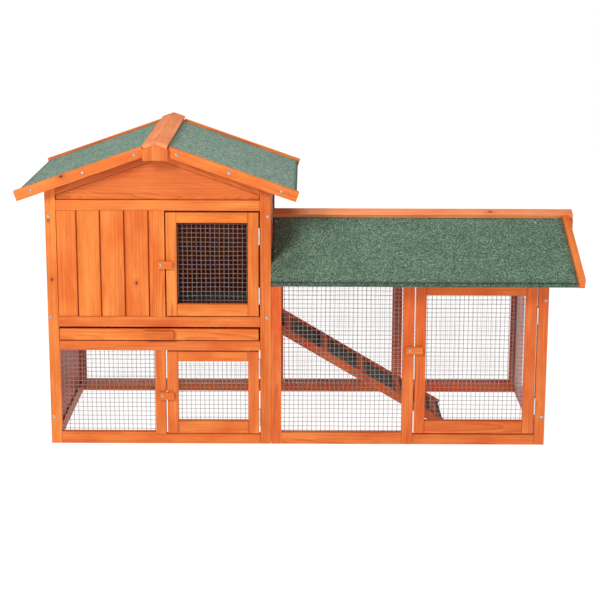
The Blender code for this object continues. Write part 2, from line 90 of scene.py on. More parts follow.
# ------------------------------------------------------------------ node helpers
class Graph:
    def __init__(self, name):
        self.mat = bpy.data.materials.new(name)
        self.mat.use_nodes = True
        self.nt = self.mat.node_tree
        self.bsdf = self.nt.nodes["Principled BSDF"]

    def put(self, socket, value):
        if isinstance(value, bpy.types.NodeSocket):
            self.nt.links.new(value, socket)
        else:
            socket.default_value = value

    def math(self, op, a, b=None, c=None, clamp=False):
        n = self.nt.nodes.new("ShaderNodeMath")
        n.operation = op
        n.use_clamp = clamp
        for s, v in zip(n.inputs, (a, b, c)):
            if v is not None:
                self.put(s, v)
        return n.outputs[0]

    def vec(self, x, y, z):
        n = self.nt.nodes.new("ShaderNodeCombineXYZ")
        for s, v in zip(n.inputs, (x, y, z)):
            self.put(s, v)
        return n.outputs[0]

    def split(self, v):
        n = self.nt.nodes.new("ShaderNodeSeparateXYZ")
        self.put(n.inputs[0], v)
        return n.outputs

    def attr(self, name):
        n = self.nt.nodes.new("ShaderNodeAttribute")
        n.attribute_name = name
        return n.outputs["Vector"]

    def coords(self):
        return self.nt.nodes.new("ShaderNodeTexCoord").outputs["Object"]

    def noise(self, v, scale, detail=2.0, rough=0.5, out=0):
        n = self.nt.nodes.new("ShaderNodeTexNoise")
        self.put(n.inputs["Vector"], v)
        n.inputs["Scale"].default_value = scale
        n.inputs["Detail"].default_value = detail
        n.inputs["Roughness"].default_value = rough
        return n.outputs[out]

    def voronoi(self, v, scale, feature="F1"):
        n = self.nt.nodes.new("ShaderNodeTexVoronoi")
        n.feature = feature
        self.put(n.inputs["Vector"], v)
        n.inputs["Scale"].default_value = scale
        return n.outputs

    def white(self, w):
        n = self.nt.nodes.new("ShaderNodeTexWhiteNoise")
        n.noise_dimensions = "1D"
        self.put(n.inputs["W"], w)
        return n.outputs["Value"]

    def ramp(self, fac, stops, mode="LINEAR"):
        n = self.nt.nodes.new("ShaderNodeValToRGB")
        n.color_ramp.interpolation = mode
        el = n.color_ramp.elements
        while len(el) < len(stops):
            el.new(0.5)
        for e, (p, c) in zip(el, stops):
            e.position = p
            e.color = (*c, 1) if isinstance(c, tuple) else (c, c, c, 1)
        self.put(n.inputs[0], fac)
        return n.outputs[0]

    def mix(self, fac, a, b, kind="MIX"):
        n = self.nt.nodes.new("ShaderNodeMix")
        n.data_type = "RGBA"
        n.blend_type = kind
        n.clamp_factor = True
        self.put(n.inputs[0], fac)
        for s, v in ((n.inputs[6], a), (n.inputs[7], b)):
            self.put(s, (*v, 1) if isinstance(v, tuple) else v)
        return n.outputs[2]

    def span(self, x, a0, a1, b0, b1, smooth=False):
        n = self.nt.nodes.new("ShaderNodeMapRange")
        n.interpolation_type = "SMOOTHSTEP" if smooth else "LINEAR"
        for s, v in zip(n.inputs[:5], (x, a0, a1, b0, b1)):
            self.put(s, v)
        return n.outputs[0]

    def bump(self, height, strength, distance):
        n = self.nt.nodes.new("ShaderNodeBump")
        n.inputs["Strength"].default_value = strength
        n.inputs["Distance"].default_value = distance
        self.put(n.inputs["Height"], height)
        self.nt.links.new(n.outputs[0], self.bsdf.inputs["Normal"])

    def set(self, **kw):
        for k, v in kw.items():
            self.put(self.bsdf.inputs[k.replace("_", " ")], v)


def srgb(r, g, b):
    f = lambda c: c / 12.92 if c <= 0.04045 else ((c + 0.055) / 1.055) ** 2.4
    return tuple(f(c / 255.0) for c in (r, g, b))


# ------------------------------------------------------------------ materials
def wood_material(name, light, mid, dark, knot_color, gloss=0.5, ply=False):
    """Stained softwood. Growth rings are shells round a pith line beside each board, so faces show
    long streaks and arches, and cut ends show arcs."""
    g = Graph(name)
    m = g.math
    u, v, w = g.split(g.attr("wood"))
    tv, th, tr = g.split(g.attr("tone"))
    radius = m("SQRT", m("ADD", m("MULTIPLY", v, v), m("MULTIPLY", w, w)))
    slow = g.noise(g.vec(m("MULTIPLY", u, 2.6), m("MULTIPLY", v, 14.0), m("MULTIPLY", w, 14.0)), 1.0, 2.0)
    wobble = m("MULTIPLY", m("SUBTRACT", slow, 0.5), 0.016 if not ply else 0.05)
    radius = m("ADD", m("ADD", radius, wobble), m("MULTIPLY", u, 0.010))
    knot_mask, knot_halo = 0.0, 0.0
    for key in ("k1", "k2"):
        ku, kv, ks = g.split(g.attr(key))
        du, dv = m("SUBTRACT", u, ku), m("SUBTRACT", v, kv)
        d2 = m("SQRT", m("ADD", m("MULTIPLY", m("MULTIPLY", du, du), 0.45), m("MULTIPLY", dv, dv)))
        q = m("DIVIDE", d2, ks)
        rag = m("ADD", q, m("MULTIPLY", m("SUBTRACT", g.noise(g.attr("wood"), 420.0, 2.0), 0.5), 0.5))
        knot_mask = m("MAXIMUM", knot_mask, g.span(rag, 1.12, 0.72, 0.0, 1.0, True))
        halo = m("EXPONENT", m("MULTIPLY", m("MULTIPLY", q, q), -0.16))
        knot_halo = m("MAXIMUM", knot_halo, halo)
        radius = m("ADD", radius, m("MULTIPLY", halo, m("MULTIPLY", ks, 1.1)))
    t = m("DIVIDE", radius, m("MULTIPLY", tr, 0.0030))
    f = m("FRACT", t)
    ring = g.ramp(f, [(0.0, 0.0), (0.35, 0.12), (0.78, 0.7), (0.93, 1.0), (1.0, 0.0)])
    which = m("ADD", m("FLOOR", t), m("MULTIPLY", tv, 37.0))
    ring = m("MULTIPLY", ring, m("ADD", 0.45, m("MULTIPLY", g.white(which), 0.75)))
    fibre = g.noise(g.vec(m("MULTIPLY", u, 14.0), m("MULTIPLY", v, 1100.0), m("MULTIPLY", w, 1100.0)), 1.0, 3.0, 0.6)
    streak = g.noise(g.vec(m("MULTIPLY", u, 3.0), m("MULTIPLY", v, 170.0), m("MULTIPLY", w, 170.0)), 1.0, 3.0, 0.6)
    blotch = g.noise(g.vec(m("MULTIPLY", u, 7.0), m("MULTIPLY", v, 22.0), m("MULTIPLY", w, 22.0)), 1.0, 3.0, 0.55)
    base = g.mix(g.span(blotch, 0.34, 0.66, 0.0, 1.0), mid, light)
    depth = m("ADD", m("MULTIPLY", ring, 0.42), m("MULTIPLY", m("SUBTRACT", streak, 0.44), 1.1), clamp=True)
    col = g.mix(depth, base, dark)
    col = g.mix(m("MULTIPLY", g.span(fibre, 0.58, 0.8, 0.0, 1.0), 0.35), col, dark)
    col = g.mix(m("MULTIPLY", knot_halo, 0.55), col, dark)
    rings = m("FRACT", m("MULTIPLY", knot_halo, 9.0))
    col = g.mix(knot_mask, col, g.mix(rings, knot_color, tuple(c * 0.55 for c in knot_color)))
    # painted shade: a per-vertex amount pulls the stain towards a deep red-brown on inward faces, along the rakes under
    # the bargeboards and on the ramp, standing in for shade; the same amount also darkens the V joints between boards
    shade_and_joint_mix = g.split(g.attr("shade_and_dark_joints"))[0]
    col = g.mix(m("MULTIPLY", shade_and_joint_mix, m("ADD", 0.75, m("MULTIPLY", fibre, 0.3)), clamp=True), col,
                tuple(c * f for c, f in zip(dark, (0.66, 0.40, 0.36))))
    # per board: lighter or darker, redder or yellower
    n = g.nt.nodes.new("ShaderNodeHueSaturation")
    g.put(n.inputs["Color"], col)
    g.put(n.inputs["Hue"], m("ADD", 0.5, m("MULTIPLY", th, 0.009)))
    g.put(n.inputs["Value"], m("ADD", 1.0, m("MULTIPLY", tv, 0.10)))
    g.set(Base_Color=n.outputs[0])
    rough = m("ADD", gloss, m("ADD", m("MULTIPLY", ring, 0.08), m("MULTIPLY", m("SUBTRACT", fibre, 0.5), 0.22)))
    g.set(Roughness=rough)
    g.bsdf.inputs["Specular IOR Level"].default_value = 0.24
    g.bump(m("ADD", m("MULTIPLY", ring, 0.35), m("ADD", m("MULTIPLY", fibre, 0.7), m("MULTIPLY", knot_mask, 0.5))),
           0.35, 0.0006)
    return g.mat


def felt_material(name, dark, mid, light, fleck, coarse_scale=250.0):
    """Bitumen felt faced with mineral granules."""
    g = Graph(name)
    m = g.math
    p = g.coords()
    cells = g.voronoi(p, 560.0)
    rnd = g.split(cells["Color"])
    col = g.ramp(rnd[0], [(0.0, dark), (0.30, tuple(0.5 * (a + b) for a, b in zip(dark, mid))), (0.58, mid),
                          (0.86, light), (1.0, fleck)])
    coarse = g.split(g.voronoi(p, coarse_scale)["Color"])[1]
    col = g.mix(g.span(coarse, 0.0, 0.35, 0.8, 0.0), col, dark)
    col = g.mix(g.span(coarse, 0.70, 1.0, 0.0, 0.75), col, light)
    clump = g.noise(p, 210.0, 3.0, 0.65)
    broad = g.noise(p, 14.0, 3.0, 0.6)
    col = g.mix(g.span(clump, 0.30, 0.62, 0.62, 0.0), col, dark)
    col = g.mix(g.span(clump, 0.56, 0.78, 0.0, 0.5), col, light)
    col = g.mix(g.span(broad, 0.35, 0.65, 0.22, 0.0), col, dark)
    worn = g.split(g.attr("worn"))[0]
    chipped = m("MULTIPLY", worn, g.span(g.noise(p, 260.0, 3.0, 0.7), 0.28, 0.5, 0.35, 1.0))
    col = g.mix(chipped, col, (0.010, 0.013, 0.012))
    g.set(Base_Color=col, Roughness=g.span(rnd[1], 0.0, 1.0, 0.72, 0.98))
    g.bsdf.inputs["Specular IOR Level"].default_value = 0.4
    g.bsdf.inputs["Sheen Weight"].default_value = 0.12
    g.bsdf.inputs["Sheen Roughness"].default_value = 0.5
    height = m("SUBTRACT", m("MULTIPLY", rnd[2], 0.6), m("MULTIPLY", cells["Distance"], 0.8))
    g.bump(m("ADD", height, m("MULTIPLY", clump, 0.8)), 0.7, 0.0010)
    return g.mat


def zinc_material(name, a, b, rough, scale, metal=0.9, uneven=1.0):
    """Zinc with its spangle, faint white bloom and handling scratches."""
    g = Graph(name)
    m = g.math
    p = g.coords()
    spangle = g.split(g.voronoi(p, scale)["Color"])[0]
    bloom = g.noise(p, scale * 1.7, 4.0, 0.6)
    col = g.mix(spangle, a, b)
    col = g.mix(g.span(bloom, 0.5, 0.75, 0.0, 0.4), col, (0.75, 0.76, 0.76))
    x, y, z = g.split(p)
    scratch = g.noise(g.vec(m("MULTIPLY", x, 900.0), m("MULTIPLY", y, 900.0), m("MULTIPLY", z, 40.0)), 1.0, 2.0)
    g.set(Base_Color=col,
          Roughness=m("ADD", rough, m("ADD", m("MULTIPLY", spangle, 0.12 * uneven),
                                      m("MULTIPLY", g.span(bloom, 0.45, 0.75, 0.0, 1.0), 0.25 * uneven))))
    g.bsdf.inputs["Metallic"].default_value = metal
    g.bump(m("ADD", m("MULTIPLY", spangle, 0.3), scratch), 0.15, 0.0003)
    return g.mat


ORANGE_L, ORANGE_M, ORANGE_D = srgb(243, 141, 66), srgb(224, 107, 41), srgb(170, 62, 22)
KNOT = srgb(132, 62, 36)
WOOD = wood_material("stained_timber", ORANGE_L, ORANGE_M, ORANGE_D, KNOT, 0.47)
PLY = wood_material("stained_ply", srgb(228, 125, 58), srgb(218, 110, 48), srgb(178, 76, 32), KNOT, 0.55, ply=True)
# painted sheen: a paler, less saturated stain for the ridge caps, standing in for the sheen of top light on them
CAP_WOOD_PAINTED_SHEEN = wood_material("stained_timber_painted_sheen", srgb(243, 160, 104), srgb(229, 132, 80), srgb(186, 88, 48), KNOT, 0.62)
FELT_RUN = felt_material("mineral_felt", srgb(32, 56, 42), srgb(85, 124, 96), srgb(130, 170, 140), srgb(214, 228, 208))
# painted sheen: a paler copy of the felt for the house roof, standing in for the sheen of the granules seen at a
# grazing angle under top light
FELT_HOUSE_PAINTED_SHEEN = felt_material("mineral_felt_painted_sheen", srgb(58, 90, 74), srgb(112, 150, 128), srgb(164, 196, 174), srgb(232, 240, 226), 150.0)
FELT_RAMP = felt_material("mineral_felt_ramp", srgb(18, 44, 30), srgb(34, 74, 54), srgb(52, 98, 72), srgb(84, 124, 98))
# painted light: two copies of one wire. The dark warm grey one on the front meshes is partly dull zinc and partly
# painted shade, with the orange of the wood painted in as reflection; the pale one on the back and end meshes is
# painted light, standing in for wires washed out against the bright light behind them
WIRE = zinc_material("galvanised_wire", (0.25, 0.215, 0.20), (0.34, 0.30, 0.28), 0.40, 260.0, 0.5)
WIRE_FAR_PAINTED_LIGHT = zinc_material("galvanised_wire_painted_light", (0.72, 0.72, 0.73), (0.84, 0.84, 0.85), 0.42, 260.0, 0.25)
ZINC = zinc_material("zinc_hinge", (0.66, 0.66, 0.65), (0.80, 0.80, 0.79), 0.32, 180.0)
SCREW = zinc_material("zinc_screw", (0.34, 0.46, 0.52), (0.50, 0.62, 0.68), 0.30, 300.0)
NAIL = zinc_material("felt_nail", (0.55, 0.50, 0.50), (0.72, 0.68, 0.68), 0.40, 300.0)
TRAY = zinc_material("tray_sheet", (0.36, 0.35, 0.34), (0.47, 0.455, 0.44), 0.24, 45.0, 1.0, 0.6)
BITUMEN = felt_material("felt_back", srgb(24, 24, 24), srgb(38, 38, 37), srgb(54, 54, 52), srgb(70, 70, 68))


# ------------------------------------------------------------------ mesh helpers
def add_plate(bm, loops, plane, d0, d1):
    def at(a, b, d):
        if plane == "XZ":
            return P(a, d, b)
        if plane == "YZ":
            return P(d, a, b)
        return P(a, b, d)
    tris = tessellate_polygon([[Vector((a, b, 0)) for a, b in lp] for lp in loops])
    flat = [p for lp in loops for p in lp]
    lo = [bm.verts.new(at(a, b, d0)) for a, b in flat]
    hi = [bm.verts.new(at(a, b, d1)) for a, b in flat]
    for a, b, c in tris:
        bm.faces.new((lo[a], lo[b], lo[c]))
        bm.faces.new((hi[c], hi[b], hi[a]))
    i = 0
    for lp in loops:
        n = len(lp)
        for k in range(n):
            a, b = i + k, i + (k + 1) % n
            bm.faces.new((lo[a], lo[b], hi[b], hi[a]))
        i += n


def solid(loops, plane, d0, d1, bevel, segments=2):
    bm = bmesh.new()
    add_plate(bm, loops, plane, d0, d1)
    bmesh.ops.recalc_face_normals(bm, faces=bm.faces)
    bmesh.ops.dissolve_limit(bm, angle_limit=0.005, verts=bm.verts, edges=bm.edges)
    if bevel:
        edges = [e for e in bm.edges if len(e.link_faces) == 2 and e.calc_face_angle(0) > 0.3]
        bmesh.ops.bevel(bm, geom=edges, offset=bevel * MM, offset_type="OFFSET", segments=segments,
                        profile=0.5, affect="EDGES", clamp_overlap=True)
    bmesh.ops.recalc_face_normals(bm, faces=bm.faces)
    return bm


def to_layout(co):
    return co.x / MM + XC, co.y / MM + YC, co.z / MM


def emit(name, bm, body, mat, replaces=(), smooth=True, weighted=False):
    me = bpy.data.meshes.new(name)
    bm.to_mesh(me)
    bm.free()
    for p in me.polygons:
        p.use_smooth = smooth
    me.materials.append(mat)
    ob = bpy.data.objects.new(name, me)
    bpy.context.scene.collection.objects.link(ob)
    if weighted:
        mod = ob.modifiers.new("weighted", "WEIGHTED_NORMAL")
        mod.weight = 100
        mod.keep_sharp = True
    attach(ob, body)
    if replaces:
        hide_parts(*replaces)
    return ob


class Timber:
    """Separate battens and boards gathered in one piece, each with its own grain, tone and knots."""

    def __init__(self, seed, shade=None):
        self.bm = bmesh.new()
        self.shade = shade          # shade(x, y, z): painted shade, how much the inward faces are darkened to stand in for the shade of roof and floor
        lay = self.bm.verts.layers.float_vector
        self.layers = [lay.new(n) for n in ("wood", "tone", "k1", "k2", "shade_and_dark_joints")]
        self.rng = random.Random(seed)

    def board(self, poly, plane, d0, d1, angle=0.0, bevel=1.0, knots=(), value=None, hue=None, auto=False,
              section=False, shade_and_dark_joints=None):
        """angle: grain direction in the plane, degrees. section: the polygon is an end section and the
        grain runs along the extrusion."""
        r = self.rng
        tmp = solid([poly], plane, d0, d1, bevel)
        ca, sa = math.cos(math.radians(angle)), math.sin(math.radians(angle))
        mid = Vector((sum(p[0] for p in poly) / len(poly), sum(p[1] for p in poly) / len(poly), (d0 + d1) / 2))
        seed = r.uniform(0, 40)
        pa, pd = r.uniform(0, 2 * math.pi), r.uniform(0.012, 0.060)
        pv, pw = pd * math.cos(pa), pd * math.sin(pa)
        tone = Vector((r.uniform(-0.6, 0.6) if value is None else value, r.uniform(-0.9, 0.2) if hue is None else hue,
                       r.uniform(0.75, 1.35)))
        if section:
            length = abs(d1 - d0)
        else:
            length = max(abs((p[0] - q[0]) * ca + (p[1] - q[1]) * sa) for p in poly for q in poly)

        def uvw(a, b, d):
            a, b, d = a - mid.x, b - mid.y, d - mid.z
            if section:
                return d * MM, a * MM, b * MM
            return (a * ca + b * sa) * MM, (-a * sa + b * ca) * MM, d * MM

        marks = []
        for a, b, size in knots:
            if section:
                u, v, w = (b - mid.z) * MM, (a - mid.x) * MM, 0.0
            else:
                u, v, w = uvw(a, b, mid.z)
            marks.append(Vector((u + seed, v + pv, size * MM)))
        if auto and length > 120 and r.random() < length / 900.0:
            width = 0.5 * min(d1 - d0 if section else 1e9, BAT) * MM
            marks.append(Vector((r.uniform(-0.4, 0.4) * length * MM + seed, r.uniform(-0.7, 0.7) * width + pv,
                                 r.uniform(0.0025, 0.005))))
        while len(marks) < 2:
            marks.append(Vector((-90.0, -90.0, 0.004)))
        new = {}
        for vert in tmp.verts:
            x, y, z = to_layout(vert.co)
            a, b, d = (x, z, y) if plane == "XZ" else (y, z, x) if plane == "YZ" else (x, y, z)
            u, v, w = uvw(a, b, d)
            nv = self.bm.verts.new(vert.co)
            nv[self.layers[0]] = Vector((u + seed, v + pv, w + pw))
            nv[self.layers[1]] = tone
            nv[self.layers[2]] = marks[0]
            nv[self.layers[3]] = marks[1]
            # painted shade and darkened joints: the per-vertex darkening comes from the board's own function when
            # given, otherwise from the piece's shade function
            shade_and_joint_value = shade_and_dark_joints(x, y, z) if shade_and_dark_joints else self.shade(x, y, z) if self.shade else 0.0
            nv[self.layers[4]] = Vector((shade_and_joint_value, 0.0, 0.0))
            new[vert] = nv
        for face in tmp.faces:
            self.bm.faces.new([new[v] for v in face.verts])
        tmp.free()

    def done(self, name, body, replaces, mat=None):
        return emit(name, self.bm, body, mat or WOOD, replaces, True, True)


PAINTED_INWARD_SHADE = 0.58                         # painted shade on the inward faces, standing in for the shade of roof and floor
J = 0.2  # half the hairline at a butt joint


def stud(t, x0, x1, z0, z1, plane="XZ", d0=0.0, d1=T, **kw):
    """Upright batten."""
    t.board(rect(x0 + J, x1 - J, z0, z1), plane, d0, d1, 90.0, **kw)


def rail(t, x0, x1, z0, z1, plane="XZ", d0=0.0, d1=T, **kw):
    """Level batten between uprights."""
    t.board(rect(x0 + J, x1 - J, z0, z1), plane, d0, d1, 0.0, **kw)


# ------------------------------------------------------------------ house panels
def gable_panel_frame(t, d0, d1, back):
    def top(x):
        return house_under(x - HXC) - 0.5

    def rake(x):
        return RAKE_INNER - SLOPE * abs(x - HXC)
    right_in = POST_R_IN if not back else HOUSE_W - BAT
    kw = dict(auto=back)
    post_l, post_r = (dict(value=0.1, hue=0.3), dict(value=-0.5, hue=0.0)) if not back else ({}, {})
    t.board([(0, 0), (BAT - J, 0), (BAT - J, top(BAT)), (0, top(0))], "XZ", d0, d1, 90,
            knots=() if back else ((13.6, 447.6, 3.0), (8.3, 604.0, 2.2)), **kw, **post_l)
    t.board([(right_in + J, 0), (HOUSE_W, 0), (HOUSE_W, top(HOUSE_W)), (right_in + J, top(right_in))], "XZ", d0, d1, 90, **kw, **post_r)
    deg = math.degrees(PITCH)
    # painted shadow: the left rake is toned darker and strongly darkened along its top edge, the right one only
    # lightly, standing in for the shadow of the bargeboards with light from the left
    t.board([(BAT + J, rake(BAT)), (HXC - J, rake(HXC)), (HXC - J, top(HXC)), (BAT + J, top(BAT))], "XZ", d0, d1, deg,
            value=-0.7, hue=-0.5,
            shade_and_dark_joints=None if back else lambda x, y, z: 0.85 if z > top(x) - 8 else 0.0, **kw)
    t.board([(HXC + J, rake(HXC)), (right_in - J, rake(right_in)), (right_in - J, top(right_in)), (HXC + J, top(HXC))],
            "XZ", d0, d1, -deg, value=-0.2, hue=-0.2,
            shade_and_dark_joints=None if back else lambda x, y, z: 0.2 if z > top(x) - 8 else 0.0, **kw)


def house():
    t = Timber(11)
    gable_panel_frame(t, 0, T, False)
    rail(t, BAT, POST_R_IN, *GABLE_RAIL, value=0.25, hue=0.4)
    rail(t, BAT, POST_R_IN, *MID_RAIL, value=-0.25, hue=-0.2)
    rail(t, BAT, POST_R_IN, *LOW_RAIL, value=-0.2, hue=-0.1)
    stud(t, UP_STILE[0], UP_STILE[1], MID_RAIL[1], GABLE_RAIL[0], value=0.45, hue=0.4)
    stud(t, LOW_STILE[0], LOW_STILE[1], 27.0, LOW_RAIL[0], value=-0.1, hue=0.1)
    a, b, c = BAT + J, LOW_STILE[0] + J, POST_R_IN - J
    t.board([(a, 0), (c, 0), (c, 26.7), (b, 26.7), (b, 32), (a, 32)], "XZ", 0, T, 0.0, value=-0.3, hue=-0.1)
    t.done("house_front_battens", "hutch", ["house_front_frame"])

    t = Timber(23)
    edges = [BAT + GAP, *BOARD_JOINTS, UP_STILE[0] - GAP]
    z0, z1 = MID_RAIL[1] + GAP, GABLE_RAIL[0] - GAP
    tones = ((0.3, 0.2), (0.55, 0.45), (0.3, 0.2), (0.15, 0.1), (0.1, 0.0))
    for k in range(5):
        a, b = edges[k] + (0.3 if k else 0), edges[k + 1] - (0.3 if k < 4 else 0)
        f = 2.6
        sec = [(a, 4 + (f if k else 0)), (a + (f if k else 0.01), 4), (b - (f if k < 4 else 0.01), 4), (b, 4 + (f if k < 4 else 0)),
               (b, 14), (a, 14)]
        knots = ((233.9, 438.1, 3.2),) if k == 3 else ()
        t.board(sec, "XY", z0, z1, section=True, bevel=0.3, value=tones[k][0], hue=tones[k][1], knots=knots,
                shade_and_dark_joints=lambda x, y, z, a=a, b=b: 1.0 if y > 4.9 and min(x - a, b - x) < 1.5 else 0.0)
    t.done("house_front_matchboard", "hutch", ["house_front_boards"])

    g = 1.5
    t = Timber(31)
    rl, rr = RAKE_INNER - SLOPE * (HXC - BAT), RAKE_INNER - SLOPE * (POST_R_IN - HXC)
    t.board([(BAT + g, GABLE_RAIL[1] + g), (POST_R_IN - g, GABLE_RAIL[1] + g), (POST_R_IN - g, rr - g),
             (HXC, RAKE_INNER - g), (BAT + g, rl - g)], "XZ", 6, 12, 0.0, bevel=0.2, value=-0.1, hue=0.0)
    t.done("house_gable_ply", "hutch", ["house_gable_panel"], PLY)

    side_top = house_under(HXC) - 0.5
    # left wall
    # painted shade: the inward faces of the left wall battens are darkened
    t = Timber(41, lambda x, y, z: 0.72 if x > 9 else 0.0)
    stud(t, SY0, SY0 + BAT, 0, side_top, "YZ", 0, T, auto=True)
    stud(t, SY1 - BAT, SY1, 0, side_top, "YZ", 0, T, auto=True)
    rail(t, SY0 + BAT, SY1 - BAT, 0, 33, "YZ", 0, T, auto=True)
    rail(t, SY0 + BAT, SY1 - BAT, side_top - BAT, side_top, "YZ", 0, T, auto=True)
    t.board(rect(T + 0.2, 45, LOW_RAIL[0], 282.7), "XZ", T + 3, DEPTH - T - 2.6, 90, auto=True)
    t.done("house_left_battens", "hutch", ["house_left_frame"])
    wall_boards("house_left_matchboard", "house_left_boards", 43, 5, 13, SY0 + BAT + GAP, SY1 - BAT - GAP, 33 + GAP,
                side_top - BAT - GAP, None)
    # right wall
    x0, x1 = HOUSE_W - T, HOUSE_W
    # painted shade: inward faces darkened, and the outer face lightly darkened for the shade under the run roof
    t = Timber(51, lambda x, y, z: PAINTED_INWARD_SHADE if x < HOUSE_W - 9 else 0.15)
    stud(t, SY0, SY0 + BAT, 0, side_top, "YZ", x0, x1, auto=True)
    stud(t, SY1 - BAT, SY1, 0, side_top, "YZ", x0, x1, auto=True)
    rail(t, SY0 + BAT, SY1 - BAT, 0, 33, "YZ", x0, x1, auto=True)
    rail(t, SY0 + BAT, SY1 - BAT, LOW_RAIL[0], 283, "YZ", x0, x1, auto=True)
    rail(t, SY0 + BAT, SY1 - BAT, side_top - BAT, side_top, "YZ", x0, x1, auto=True)
    t.board(rect(POST_R_IN - 16, x0 - 0.2, LOW_RAIL[0], 282.7), "XZ", T + 3, DEPTH - T - 2.6, 90, auto=True)
    t.done("house_right_battens", "hutch", ["house_right_frame"])
    wall_boards("house_right_matchboard", "house_right_boards", 53, x0 + 13, x0 + 5, SY0 + BAT + GAP, SY1 - BAT - GAP,
                283 + GAP, side_top - BAT - GAP, (RAMP_Y0 + STRINGER_T + 3, RAMP_Y1 - STRINGER_T - 3, 303, 500))
    # back wall
    # painted shade: the inward faces of the back battens are darkened
    t = Timber(61, lambda x, y, z: PAINTED_INWARD_SHADE if y < DEPTH - 9 else 0.0)
    gable_panel_frame(t, DEPTH - T, DEPTH, True)
    rail(t, BAT, HOUSE_W - BAT, 0, 33, "XZ", DEPTH - T, DEPTH, auto=True)
    rail(t, BAT, HOUSE_W - BAT, 291, 319, "XZ", DEPTH - T, DEPTH, auto=True)
    t.done("house_back_battens", "hutch", ["house_back_frame"])
    t = Timber(67, lambda x, y, z: PAINTED_INWARD_SHADE if y < DEPTH - 9 else 0.0)
    n = 6
    g = GAP
    xs = [BAT + g + (HOUSE_W - 2 * BAT - 2 * g) * k / n for k in range(n + 1)]
    for k in range(n):
        a, b = xs[k] + 0.03, xs[k + 1] - 0.03
        tops = [(b, RAKE_INNER - g - SLOPE * abs(b - HXC))]
        if a < HXC < b:
            tops.append((HXC, RAKE_INNER - g))
        tops.append((a, RAKE_INNER - g - SLOPE * abs(a - HXC)))
        # painted shade on the inward face of the back boards; the joints of the outer face are darkened
        t.board([(a, 319 + g), (b, 319 + g), *tops], "XZ", DEPTH - 13, DEPTH - 5, 90, bevel=1.7, auto=True,
                shade_and_dark_joints=lambda x, y, z, a=a, b=b: 0.3 if y < DEPTH - 9 else 1.0 if min(x - a, b - x) < 0.6 else 0.0)
    t.done("house_back_matchboard", "hutch", ["house_back_boards"])


def wall_boards(name, node, seed, front, back, y0, y1, z0, z1, hole):
    """Upright boards, V jointed on the `front` face. A hole splits the boards that it meets."""
    mid = (front + back) / 2
    t = Timber(seed)
    n = 7
    ys = [y0 + (y1 - y0) * k / n for k in range(n + 1)]
    lo, hi = min(front, back), max(front, back)
    for k in range(n):
        a, b = ys[k] + 0.03, ys[k + 1] - 0.03
        spans = [(a, b, z0, z1)]
        if hole and b > hole[0] and a < hole[1]:
            ha, hb, hz0, hz1 = hole
            spans = [(a, b, z0, hz0), (a, b, hz1, z1)]
            if a < ha:
                spans.append((a, ha, hz0, hz1))
            if b > hb:
                spans.append((hb, b, hz0, hz1))
        for p, q, za, zb in spans:
            if q - p > 1.0 and zb - za > 1.0:
                # painted shade: the face away from `front` is darkened as if in the shade inside; the V joints on
                # `front` are darkened
                t.board(rect(p, q, za, zb), "YZ", lo, hi, 90, bevel=1.7, auto=True,
                        shade_and_dark_joints=lambda x, y, z, p=p, q=q: 0.8 if (x - mid) * (front - mid) < 0 else
                        1.0 if min(y - p, q - y) < 0.6 else 0.0)
    t.done(name, "hutch", [node])


# ------------------------------------------------------------------ roofs
def slope_board(side, c, top, d_in, d_out, thick):
    s = side
    return [(c + s * d_in, top - SLOPE * d_in), (c + s * d_out, top - SLOPE * d_out),
            (c + s * (d_out - thick * SIN), top - SLOPE * d_out - thick * COS),
            (c + s * d_in, top - SLOPE * d_in - thick / COS)]


def barge(side, c, felt, up, d_tip, d_notch):
    s = side
    top = felt + up
    return [(c + s * GAP / 2, felt - SLOPE * GAP / 2), (c + s * d_notch, felt - SLOPE * d_notch),
            (c + s * d_notch, top - SLOPE * d_notch), (c + s * d_tip, top - SLOPE * d_tip),
            (c + s * (d_tip - BARGE_W * SIN), top - SLOPE * d_tip - BARGE_W * COS),
            (c + s * GAP / 2, top - SLOPE * GAP / 2 - BARGE_W / COS)]


def block_section(c, felt):
    return [(c - BLOCK_HALF, felt - BLOCK_DROP), (c + BLOCK_HALF, felt - BLOCK_DROP),
            (c + BLOCK_HALF, felt - SLOPE * BLOCK_HALF), (c, felt), (c - BLOCK_HALF, felt - SLOPE * BLOCK_HALF)]


